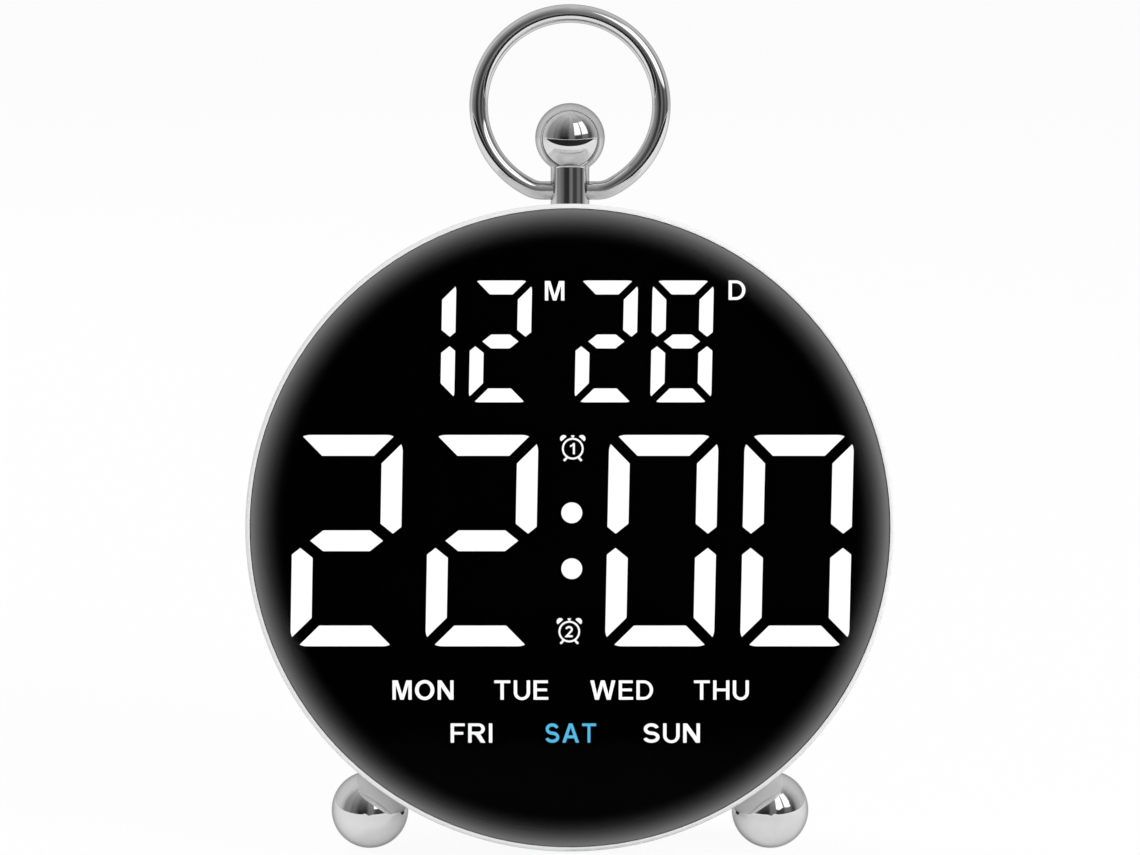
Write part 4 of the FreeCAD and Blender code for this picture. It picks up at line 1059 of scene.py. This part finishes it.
def ribbon(spine: Sequence[Point], width: float) -> Outline:
    """Outline of a stroke of even width along a spine.

    Args:
        spine: Points of the stroke's middle line.
        width: The stroke's width.

    Returns:
        The closed outline.
    """
    left, right = [], []
    for number, point in enumerate(spine):
        here = Vector(point)
        before = here - Vector(spine[number - 1]) if number else Vector(spine[1]) - here
        after = Vector(spine[number + 1]) - here if number + 1 < len(spine) else before
        before, after = before.normalized(), after.normalized()
        mean = (before + after).normalized()
        aside = Vector((-mean.y, mean.x)) * (width / 2 / max(mean.dot(before), SHARPEST))
        left.append(tuple(here + aside))
        right.append(tuple(here - aside))
    return left + right[::-1]


def _bowl(foot: float, low: float) -> list[Outline]:
    """A stem with a bowl at its upper half, as in P.

    Args:
        foot: Width of the stem's foot.
        low: Level of the bowl's lower edge.

    Returns:
        The edge up to the bowl, and the hole.
    """
    middle = (low + 1.0) / 2
    edge = ellipse((0.5, middle), 0.3, 1.0 - middle, -90.0, 90.0)
    hole = ellipse((0.48, middle), 0.3 - STEM + 0.02, 1.0 - middle - BEAM, -90.0, 90.0, 12)
    return [[(0.0, 0.0), (foot, 0.0), (foot, low), *edge, (0.0, 1.0)],
            [(foot, low + BEAM), *hole, (foot, 1.0 - BEAM)]]


def _capital_r() -> list[Outline]:
    """The letter R: a stem with a bowl and a slanted leg.

    Returns:
        The letter's edge and its hole.
    """
    edge, hole = _bowl(STEM, 0.43)
    leg = [(0.28, 0.43), (0.37, 0.37), (0.61, 0.0), (0.83, 0.0), (0.56, 0.44)]
    return [[*edge[:3], *leg, *edge[4:]], hole]


GLYPHS: dict[str, list[Outline]] = {
    "I": [[(0.0, 0.0), (STEM, 0.0), (STEM, 1.0), (0.0, 1.0)]],
    "L": [[(0.0, 0.0), (0.66, 0.0), (0.66, BEAM), (STEM, BEAM), (STEM, 1.0), (0.0, 1.0)]],
    "T": [[(0.0, 1.0), (0.0, 1 - BEAM), (0.3, 1 - BEAM), (0.3, 0.0), (0.3 + STEM, 0.0),
           (0.3 + STEM, 1 - BEAM), (0.78, 1 - BEAM), (0.78, 1.0)]],
    "E": [[(0.0, 0.0), (0.72, 0.0), (0.72, BEAM), (STEM, BEAM), (STEM, 0.44), (0.66, 0.44),
           (0.66, 0.44 + BEAM), (STEM, 0.44 + BEAM), (STEM, 1 - BEAM), (0.7, 1 - BEAM),
           (0.7, 1.0), (0.0, 1.0)]],
    "F": [[(0.0, 0.0), (STEM, 0.0), (STEM, 0.42), (0.61, 0.42), (0.61, 0.42 + BEAM),
           (STEM, 0.42 + BEAM), (STEM, 1 - BEAM), (0.68, 1 - BEAM), (0.68, 1.0), (0.0, 1.0)]],
    "H": [[(0.0, 0.0), (STEM, 0.0), (STEM, 0.44), (0.8 - STEM, 0.44), (0.8 - STEM, 0.0),
           (0.8, 0.0), (0.8, 1.0), (0.8 - STEM, 1.0), (0.8 - STEM, 0.44 + BEAM),
           (STEM, 0.44 + BEAM), (STEM, 1.0), (0.0, 1.0)]],
    "N": [[(0.0, 0.0), (STEM, 0.0), (STEM, 0.68), (0.61, 0.0), (0.8, 0.0), (0.8, 1.0),
           (0.8 - STEM, 1.0), (0.8 - STEM, 0.32), (0.19, 1.0), (0.0, 1.0)]],
    "M": [[(0.0, 0.0), (0.165, 0.0), (0.165, 0.78), (0.4, 0.0), (0.57, 0.0), (0.805, 0.78),
           (0.805, 0.0), (0.97, 0.0), (0.97, 1.0), (0.7, 1.0), (0.485, 0.27), (0.27, 1.0),
           (0.0, 1.0)]],
    "W": [[(0.0, 1.0), (0.19, 1.0), (0.34, 0.27), (0.535, 1.0), (0.725, 1.0), (0.92, 0.27),
           (1.07, 1.0), (1.26, 1.0), (1.02, 0.0), (0.825, 0.0), (0.63, 0.74), (0.435, 0.0),
           (0.24, 0.0)]],
    "V": [[(0.0, 1.0), (0.2, 1.0), (0.455, 0.25), (0.71, 1.0), (0.91, 1.0), (0.56, 0.0),
           (0.35, 0.0)]],
    "A": [[(0.0, 0.0), (0.19, 0.0), (0.27, 0.23), (0.67, 0.23), (0.75, 0.0), (0.94, 0.0),
           (0.57, 1.0), (0.37, 1.0)], [(0.325, 0.38), (0.615, 0.38), (0.47, 0.8)]],
    "O": [loop((0.49, 0.5), 0.49, 0.52, 36), loop((0.49, 0.5), 0.3, 0.355, 36)],
    "C": [ribbon(ellipse((0.49, 0.5), 0.4, 0.44, 38.0, 322.0, 36), WIDE_ROUND_STROKE)],
    "U": [[(0.0, 1.0), *ellipse((0.395, 0.37), 0.395, 0.39, 180.0, 360.0), (0.79, 1.0),
           (0.79 - STEM, 1.0),
           *ellipse((0.395, 0.37), 0.395 - STEM, 0.39 - BEAM, 360.0, 180.0), (STEM, 1.0)]],
    "D": [[(0.0, 0.0), *ellipse((0.36, 0.5), 0.47, 0.5, -90.0, 90.0), (0.0, 1.0)],
          [(STEM, BEAM), *ellipse((0.36, 0.5), 0.47 - STEM, 0.5 - BEAM, -90.0, 90.0),
           (STEM, 1 - BEAM)]],
    "P": _bowl(STEM, 0.38),
    "R": _capital_r(),
    "S": [ribbon([*ellipse((0.4, 0.71), 0.28, 0.215, 14.0, 262.0),
                  *ellipse((0.4, 0.285), 0.31, 0.21, 82.0, -166.0)], ROUND_STROKE)],
    "1": [[(0.0, 0.63), (0.0, 0.79), (0.17, 0.86), (0.27, 1.0), (0.43, 1.0), (0.43, 0.0),
           (0.25, 0.0), (0.25, 0.75)]],
    "2": [ribbon([*ellipse((0.35, 0.69), 0.25, 0.225, 168.0, -28.0), (0.13, 0.08),
                  (0.68, 0.08)], WIDE_ROUND_STROKE)],
    "5": [ribbon([(0.62, 0.92), (0.18, 0.92), (0.12, 0.5),
                  *ellipse((0.36, 0.335), 0.26, 0.255, 125.0, -150.0)], ROUND_STROKE)],
}


@dataclass(frozen=True)
class Word:
    """A word or a single letter set in plain bold capitals, as wide as drawn if no width is set."""

    text: str
    centre: Point
    width: float | None = None
    height: float = 3.3 * MM
    spacing: float = 0.17

    def outlines(self) -> list[list[Outline]]:
        """Outlines of each letter in the case's frame.

        Returns:
            For each letter, its edge and its holes.
        """
        sizes = [max(point[0] for point in GLYPHS[letter][0]) for letter in self.text]
        drawn = (sum(sizes) + self.spacing * (len(sizes) - 1)) * self.height
        width = drawn if self.width is None else self.width
        stretch = width / drawn
        start = self.centre[0] - width / 2
        found = []
        for letter, size in zip(self.text, sizes):
            found.append([[
                (start + across * self.height * stretch,
                 self.centre[1] + (up - 0.5) * self.height)
                for across, up in outline] for outline in GLYPHS[letter]])
            start += (size + self.spacing) * self.height * stretch
        return found


# Display

LEVEL_BAR_REACH = 0.45  # a level bar's middle lies this near the digit's upright axis
MIDDLE_BAR_REACH = 0.4  # the middle bar lies this near the digit's centre


class Bar(Enum):
    """The seven bars of a digit by their usual letters."""

    TOP = "a"
    UPPER_RIGHT = "b"
    LOWER_RIGHT = "c"
    BOTTOM = "d"
    LOWER_LEFT = "e"
    UPPER_LEFT = "f"
    MIDDLE = "g"

    @staticmethod
    def at(across: float, up: float) -> "Bar":
        """Name a bar by its place in the digit.

        Args:
            across: From -1 at the digit's left to 1 at its right.
            up: From -1 at its bottom to 1 at its top.

        Returns:
            The bar.
        """
        if abs(across) < LEVEL_BAR_REACH:
            if abs(up) < MIDDLE_BAR_REACH:
                return Bar.MIDDLE
            return Bar.TOP if up > 0 else Bar.BOTTOM
        if across > 0:
            return Bar.UPPER_RIGHT if up > 0 else Bar.LOWER_RIGHT
        return Bar.UPPER_LEFT if up > 0 else Bar.LOWER_LEFT


# The 1 is the month's first digit, which has no other bars than the two that it lights.
LIT_BARS = {"0": "abcdef", "1": "abcdefg", "2": "abged", "8": "abcdefg"}


def extent(points: Iterable[Vector]) -> tuple[Vector, Vector]:
    """Measure the box round some points.

    Args:
        points: The points.

    Returns:
        The box's centre and half its size.
    """
    along = list(zip(*points))
    low, high = (Vector([pick(numbers) for numbers in along]) for pick in (min, max))
    return (low + high) / 2, (high - low) / 2


def islands(work: bmesh.types.BMesh) -> list[list[bmesh.types.BMFace]]:
    """Split a mesh into its connected parts.

    Args:
        work: The mesh.

    Returns:
        The faces of each part.
    """
    work.faces.index_update()
    seen, found = set(), []
    for first in work.faces:
        if first.index in seen:
            continue
        seen.add(first.index)
        part = [first]
        for face in part:
            for edge in face.edges:
                for other in edge.link_faces:
                    if other.index not in seen:
                        seen.add(other.index)
                        part.append(other)
        found.append(part)
    return found


@dataclass(frozen=True)
class Figure:
    """One digit of the display."""

    node: str
    digit: str
    weld: float = 0.001 * MM

    def build(self) -> None:
        """Split the frame's bars into lit and dark ones."""
        work = bmesh.new()
        work.from_mesh(frame["nodes"][self.node].data)
        bmesh.ops.remove_doubles(work, verts=work.verts, dist=self.weld)
        work.transform(INTO_CASE)
        centre, half = extent(corner.co for corner in work.verts)
        mesh = Mesh()
        for bar in islands(work):
            offset = extent(corner.co for face in bar for corner in face.verts)[0] - centre
            name = Bar.at(offset.x / half.x, offset.z / half.z)
            slot = 0 if name.value in LIT_BARS[self.digit] else 1
            for face in bar:
                points = [corner.co.copy() for corner in face.verts]
                mesh.add(points, [range(len(points))], slot)
        work.free()
        mesh.piece(f"{self.node}_shown", (LIT, UNLIT), "case", [self.node])


@dataclass(frozen=True)
class AlarmSign:
    """A small alarm clock outline with a number in it."""

    number: str
    centre: Point
    radius: float = 1.84 * MM
    stroke: float = 0.31 * MM
    sides: int = 48
    bell_size: Point = (0.6 * MM, 0.56 * MM)
    bell_ends: Range = (-12.0, 192.0)
    bell_place: Point = (1.58 * MM, 1.74 * MM)
    bell_lean: float = 42.0
    leg: tuple[Point, Point] = ((0.98 * MM, -1.52 * MM), (1.5 * MM, -2.06 * MM))
    leg_width: float = 0.38 * MM
    knob_levels: Range = (1.86 * MM, 2.26 * MM)
    knob_halves: Range = (0.12 * MM, 0.32 * MM)
    digit_place: Point = (-0.05 * MM, 0.0)
    digit_height: float = 1.9 * MM

    def shapes(self) -> list[list[Outline]]:
        """Outlines of the ring, its bells, its knob, its legs and its number.

        Returns:
            For each shape, its edge and its holes.
        """
        middle = (0.0, 0.0)
        radii = self.radius, self.radius - self.stroke
        shapes = [[loop(middle, radius, radius, self.sides) for radius in radii]]
        for side in (-1, 1):
            turn = Matrix.Rotation(math.radians(-side * self.bell_lean), 2)
            place = Vector((side * self.bell_place[0], self.bell_place[1]))
            bell = ellipse(middle, *self.bell_size, *self.bell_ends)
            shapes.append([[tuple(turn @ Vector(point) + place) for point in bell]])
            leg = [(side * across, up) for across, up in self.leg]
            shapes.append([ribbon(leg, self.leg_width)])
        (low, high), (narrow, wide) = self.knob_levels, self.knob_halves
        shapes.append([[(-narrow, low), (narrow, low), (wide, high), (-wide, high)]])
        shapes.extend(Word(self.number, self.digit_place, None, self.digit_height).outlines())
        return [[[(across + self.centre[0], up + self.centre[1]) for across, up in outline]
                 for outline in shape] for shape in shapes]


UPPER_DAYS = -27.7 * MM
LOWER_DAYS = -35.07 * MM


@dataclass
class Display(Assembly):
    """Everything that lights up behind the window."""

    worn: ClassVar[dict[Finish, tuple[str, ...]]] = {
        LIT: ("colon_dots",), FILM: ("mask_film",),
        UNLIT: ("letter_windows", "weekday_windows", "alarm_sign_windows")}

    figures: tuple[Figure, ...] = (
        Figure("hours_tens_bars", "2"), Figure("hours_units_bars", "2"),
        Figure("minutes_tens_bars", "0"), Figure("minutes_units_bars", "0"),
        Figure("month_tens_bars", "1"), Figure("month_units_bars", "2"),
        Figure("day_tens_bars", "2"), Figure("day_units_bars", "8"),
    )
    letters: tuple[Word, ...] = (
        Word("M", (-2.6 * MM, 40.3 * MM), 3.3 * MM), Word("D", (28.3 * MM, 40.4 * MM), 2.85 * MM),
    )
    days: tuple[Word, ...] = (
        Word("MON", (-25.05 * MM, UPPER_DAYS), 10.4 * MM),
        Word("TUE", (-8.3 * MM, UPPER_DAYS), 9.2 * MM),
        Word("WED", (8.8 * MM, UPPER_DAYS), 10.7 * MM),
        Word("THU", (25.8 * MM, UPPER_DAYS), 9.35 * MM),
        Word("FRI", (-16.8 * MM, LOWER_DAYS), 7.1 * MM),
        Word("SUN", (17.3 * MM, LOWER_DAYS), 9.7 * MM),
    )
    marked_day: Word = Word("SAT", (0.1 * MM, LOWER_DAYS), 8.7 * MM)
    signs: tuple[AlarmSign, ...] = (
        AlarmSign("1", (0.47 * MM, 13.5 * MM)), AlarmSign("2", (-0.12 * MM, -17.7 * MM)),
    )
    front: float = 2.97 * MM
    back: float = 2.99 * MM

    def build(self) -> None:
        """Light the digits, the dots, the words and the signs."""
        super().build()
        for figure in self.figures:
            figure.build()
        self._light("letters_shown", [word.outlines() for word in self.letters], LIT)
        self._light("days_shown", [word.outlines() for word in self.days], LIT)
        self._light("marked_day_shown", [self.marked_day.outlines()], LIT_BLUE)
        self._light("alarm_signs_shown", [sign.shapes() for sign in self.signs], LIT)

    def _light(self, name: str, groups: list[list[list[Outline]]], finish: Finish) -> None:
        """Make lit shapes between the film and the window.

        Args:
            name: The piece's name.
            groups: For each word or sign, its shapes, each with its edge and its holes.
            finish: The lit finish.
        """
        mesh = Mesh()
        for shapes in groups:
            for shape in shapes:
                mesh.plate(shape, self.front, self.back)
        mesh.piece(name, (finish,), "case", sharp=20.0)


# Case

@dataclass
class Window:
    """The smoked front window with its rolled edge."""

    radius: float = 54.1 * MM
    apex: float = -2.6 * MM
    crown: float = 0.8 * MM
    shoulder: float = 48.2 * MM
    edge: float = 0.4 * MM
    edge_radius: float = 9.9 * MM
    back: float = 2.96 * MM
    border: float = 51.65 * MM
    steps: int = 24

    def build(self) -> None:
        """Turn the window about the case's axis."""
        mesh = Mesh()
        mesh.turn([*self._crown(), *self._rolled_edge()[1:]])
        mesh.turn([(self.border, self.back), (0.0, self.back)], slot=1)
        rim = [(self.radius, self.edge), (self.radius, self.back), (self.border, self.back)]
        mesh.turn(rim, slot=2)
        mesh.points = [CASE @ point for point in mesh.points]
        finishes = (WINDOW, WINDOW_BACK, BORDER)
        mesh.piece("window", finishes, "case", ["lens"], 50.0, Matrix())

    def _crown(self) -> Outline:
        """Draw the slightly domed front.

        Returns:
            Its profile from the axis to the shoulder.
        """
        radius = (self.shoulder ** 2 + self.crown ** 2) / (2 * self.crown)
        outs = [self.shoulder * step / self.steps for step in range(self.steps + 1)]
        return [(out, self.apex + radius - math.sqrt(radius ** 2 - out ** 2)) for out in outs]

    def _rolled_edge(self) -> Outline:
        """Draw the rolled edge.

        Returns:
            Its profile from the shoulder to the rim.
        """
        first = Vector((self.shoulder, self.apex + self.crown))
        last = Vector((self.radius, self.edge))
        chord = last - first
        left = Vector((-chord.y, chord.x)).normalized()
        rise = math.sqrt(self.edge_radius ** 2 - (chord.length / 2) ** 2)
        centre = (first + last) / 2 + left * rise
        start, end = (math.atan2(point.y - centre.y, point.x - centre.x) for point in (first, last))
        sweep = (end - start + math.pi) % (2 * math.pi) - math.pi
        return ellipse(
            tuple(centre), self.edge_radius, self.edge_radius, math.degrees(start),
            math.degrees(start + sweep), self.steps)


class Shell(Assembly):
    """The white case, its rear cover and the screws that hold it."""

    worn = {
        SHELL: ("case_body",), COVER: ("back_cover",), SCREW: ("case_screws",),
        RUBBER: ("rear_rest_pad",), FOAM: ("lens_adhesive",)}


class Brightwork(Assembly):
    """The post with its ball, the carrying ring and the ball feet."""

    worn = {
        CHROME: ("handle_post", "ring_handle", "left_foot", "right_foot"),
        SCREW: ("post_nut", "post_washer", "foot_nuts", "foot_washers")}


KEYS = ("set", "mode", "down", "up", "alarm")


class KeyRow(Assembly):
    """The five setting keys with their switches, the board behind them and the power socket."""

    worn = {
        KEY: tuple(f"{key}_button" for key in KEYS),
        BLACK_PLASTIC: (
            *(f"{key}_switch_plunger" for key in KEYS), "switch_bodies", "power_socket_tongue"),
        BOARD: ("button_board",), SCREW: ("button_board_screws",), NYLON: ("button_plug",),
        NICKEL: ("power_socket_shell",)}


class Sounder(Assembly):
    """The speaker behind the grille."""

    worn = {
        PRESSED: ("speaker_basket", "speaker_magnet"), PAPER: ("speaker_cone",),
        FOAM: ("speaker_gasket",)}


class BatteryBay(Assembly):
    """The cells, their contacts and the door."""

    worn = {
        JACKET: ("battery_cells",), NICKEL: ("battery_contacts",), COVER: ("battery_door",)}


class Works(Assembly):
    """The display's board and what is on it."""

    worn = {
        REFLECTOR: ("reflector",), BOARD: ("display_board",), SCREW: ("board_screws",),
        LAMP: ("light_chips",), BLACK_PLASTIC: ("driver_chip", "clock_chip"),
        NICKEL: ("clock_crystal",), NYLON: ("display_plug",), RIBBON: ("ribbon_cable",)}


@dataclass
class RearMarks:
    """Printed legends of the keys and the socket, and the door's raised grip."""

    face: float = 34.0 * MM
    ink: float = 0.03 * MM
    legend_level: float = 10.4 * MM
    legend_height: float = 1.7 * MM
    legend_spacing: float = 0.2
    key_pitch: float = 13.0 * MM
    socket_across: float = 38.5 * MM
    socket_shift: float = 2.7 * MM
    rib_levels: tuple[float, ...] = (-9.0 * MM, -10.6 * MM, -12.2 * MM)
    rib_half: float = 6.0 * MM
    rib_height: float = 0.7 * MM
    rib_rise: float = 0.6 * MM
    rib_sink: float = 0.0875 * MM
    rib_steps: int = 8

    def build(self) -> None:
        """Print the legends and raise the ribs."""
        self._legends()
        self._grip()

    def _legends(self) -> None:
        """Print a name over each key and over the socket, to be read from behind."""
        row_half = (len(KEYS) - 1) / 2
        places = {
            key.upper(): (number - row_half) * self.key_pitch for number, key in enumerate(KEYS)}
        places["DC"] = self.socket_across + self.socket_shift
        places["5V"] = self.socket_across - self.socket_shift
        front, back = self.face - self.ink / 2, self.face + self.ink / 2
        mesh = Mesh()
        for text, across in places.items():
            centre = (-across, self.legend_level)
            word = Word(text, centre, None, self.legend_height, self.legend_spacing)
            for letter in word.outlines():
                mesh.plate([[(-x, z) for x, z in outline] for outline in letter], front, back)
        mesh.piece("rear_legends", (INK,), "case", sharp=20.0)

    def _grip(self) -> None:
        """Raise the ribs of the door's thumb grip, sunk a little into the door."""
        mesh = Mesh()
        half = self.rib_height / 2
        for level in self.rib_levels:
            right = ellipse((self.rib_half, level), half, half, -90.0, 90.0, self.rib_steps)
            left = ellipse((-self.rib_half, level), half, half, 90.0, 270.0, self.rib_steps)
            mesh.plate([right + left], self.face - self.rib_sink, self.face + self.rib_rise)
        mesh.piece("door_grip", (COVER,), "door", sharp=40.0)


# Studio

def aim(item: bpy.types.Object, place: Vector, target: Vector) -> None:
    """Stand a lamp or a camera at a place and turn it to a target."""
    item.location = place
    item.rotation_euler = (target - place).to_track_quat("-Z", "Y").to_euler()


@dataclass(frozen=True)
class Lamp:
    """A soft square lamp that faces the clock and isn't seen in the plating."""

    name: str
    place: tuple[float, float, float]
    size: float
    power: float
    target: tuple[float, float, float] = (0.0, 0.0, 0.06)

    def build(self) -> None:
        """Hang the lamp."""
        lamp = bpy.data.lights.new(self.name, "AREA")
        lamp.size = self.size
        lamp.energy = self.power
        item = stand(self.name, lamp)
        aim(item, Vector(self.place), Vector(self.target))
        item.visible_glossy = False
        item.visible_camera = False


@dataclass
class Studio:
    """White table, white surroundings and soft lamps."""

    lamps: tuple[Lamp, ...] = (
        Lamp("lamp_left", (-0.9, -0.9, 1.1), 0.9, 2.0),
        Lamp("lamp_right", (1.1, -0.8, 0.8), 0.8, 13.0),
        Lamp("lamp_rear", (-0.7, 0.9, 1.1), 0.6, 6.0),
    )
    table_half: float = 6.0
    floor_half: float = 3.0
    floor_front: float = -0.28
    floor_rise: float = 1.2 * MM
    sky_level: float = 0.56
    # Grey levels that the plating sees along the horizon, by degrees to the right of the front.
    horizon: tuple[tuple[float, float], ...] = (
        (-180, 0.8), (-101, 0.72), (-90, 0.56), (-80, 0.26), (-62, 0.26), (-54, 0.16),
        (-45, 0.16), (-38, 0.09), (-30, 0.025), (-7, 0.02), (0, 0.18), (12, 0.2), (18, 0.08),
        (22, 0.045), (38, 0.05), (46, 0.17), (60, 0.17), (71, 0.04), (76, 0.07), (90, 0.42),
        (110, 0.65), (180, 0.8))
    ceiling_level: float = 85.0
    ceiling_power: float = 1.6
    ceiling: Range = (0.56, 0.72)
    streaks: Grain = Grain(9.0, 3.0, 0.6, (1.0, 1.0, 0.15))
    streaked: Range = (0.36, 0.64)
    # Each pane of the bright window eases in over its first range and out over its second.
    pane_levels: tuple[Range, Range] = ((13.0, 16.0), (51.0, 55.0))
    left_pane: tuple[Range, Range] = ((14.0, 17.0), (36.0, 38.5))
    right_pane: tuple[Range, Range] = ((40.5, 43.0), (62.0, 66.0))
    pane_glow: float = 1.5

    def build(self) -> None:
        """Lay the table, light the room and hang the lamps."""
        half = self.table_half
        self._plane("table", (-half, -half), (half, half), 0.0, TABLE)
        half = self.floor_half
        floor = self._plane(
            "dark_floor", (-half, -half), (half, self.floor_front), self.floor_rise, FLOOR)
        floor.visible_camera = floor.visible_diffuse = False
        floor.visible_shadow = floor.visible_transmission = False
        self._room()
        for lamp in self.lamps:
            lamp.build()

    def _plane(
        self, name: str, low: Point, high: Point, height: float, finish: Finish,
    ) -> bpy.types.Object:
        """A level rectangle.

        Args:
            name: The object's name.
            low: Corner with the smaller X and Y.
            high: Corner with the larger X and Y.
            height: Its height.
            finish: Its finish.

        Returns:
            The rectangle, which is no part of the clock.
        """
        mesh = bpy.data.meshes.new(name)
        around = [low, (high[0], low[1]), high, (low[0], high[1])]
        mesh.from_pydata([(*point, height) for point in around], [], [[0, 1, 2, 3]])
        mesh.materials.append(finish.material())
        item = stand(name, mesh)
        return item

    def _room(self) -> None:
        """White to the camera, a dim studio to the plating and an even glow to the rest."""
        world = bpy.data.worlds.new("studio")
        world.use_nodes = True
        bpy.context.scene.world = world
        recipe = Recipe(world.node_tree)
        plain = recipe.blend(recipe.seen(), grey(self.sky_level), WHITE)
        colour = recipe.blend(recipe.mirrored(), plain, self._mirrored_room(recipe))
        glow = recipe.node("ShaderNodeBackground", None, {"Color": colour, "Strength": 1.0})[0]
        recipe.node("ShaderNodeOutputWorld", None, {"Surface": glow})

    def _mirrored_room(self, recipe: Recipe) -> Value:
        """Colour of the room that the plating shows: walls, ceiling and a bright window.

        Args:
            recipe: The world's recipe.

        Returns:
            The colour seen in each direction.
        """
        direction = recipe.place("Generated")
        across, back, up = recipe.axes(direction)
        flat = (across * across + back * back).root()
        height = up.angle_from(flat) * (180 / math.pi)
        turn = across.angle_from(back * -1.0) * (180 / math.pi)
        stops = [(place / 360 + 0.5, level) for place, level in self.horizon]
        walls = recipe.node("ShaderNodeValToRGB", {"stops": stops}, {0: turn / 360 + 0.5})["Color"]
        streaks = recipe.noise(direction, self.streaks).spread(*self.streaked)
        ceiling = recipe.blend(streaks, grey(self.ceiling[0]), grey(self.ceiling[1]))
        rise = height.spread(0.0, self.ceiling_level) ** self.ceiling_power
        panes = turn.within(*self.left_pane).larger(turn.within(*self.right_pane))
        return recipe.blend(
            panes * height.within(*self.pane_levels), recipe.blend(rise, walls, ceiling),
            grey(self.pane_glow))


@dataclass
class Viewpoint:
    """Where the photo was taken from."""

    distance: float = 0.6
    elevation: float = 10.5
    aim_rise: float = 17.43 * MM
    lens: float = 111.95
    sensor: float = 36.0
    nearest: float = 0.01

    def build(self) -> None:
        """Stand the camera in front of the clock."""
        centre = CASE @ Vector((0.0, 0.0, 0.0))
        rise = math.radians(self.elevation)
        place = centre + Vector((0.0, -math.cos(rise), math.sin(rise))) * self.distance
        camera = bpy.data.cameras.new("photo_camera")
        camera.lens = self.lens
        camera.sensor_width = self.sensor
        camera.clip_start = self.nearest
        item = stand("photo_camera", camera)
        aim(item, place, centre + Vector((0.0, 0.0, self.aim_rise)))
        bpy.context.scene.camera = item


def main() -> None:
    """Build every part of the clock, then the studio and the camera."""
    logging.basicConfig(level=logging.INFO, format="%(name)s: %(message)s")
    parts = (
        Shell(), Window(), Display(), Brightwork(), KeyRow(), Sounder(), BatteryBay(), Works(),
        RearMarks(), Studio(), Viewpoint())
    for part in parts:
        part.build()
        LOG.info("built %s", type(part).__name__)
    bpy.context.scene.view_settings.view_transform = "Standard"


if __name__ == "__main__":
    main()
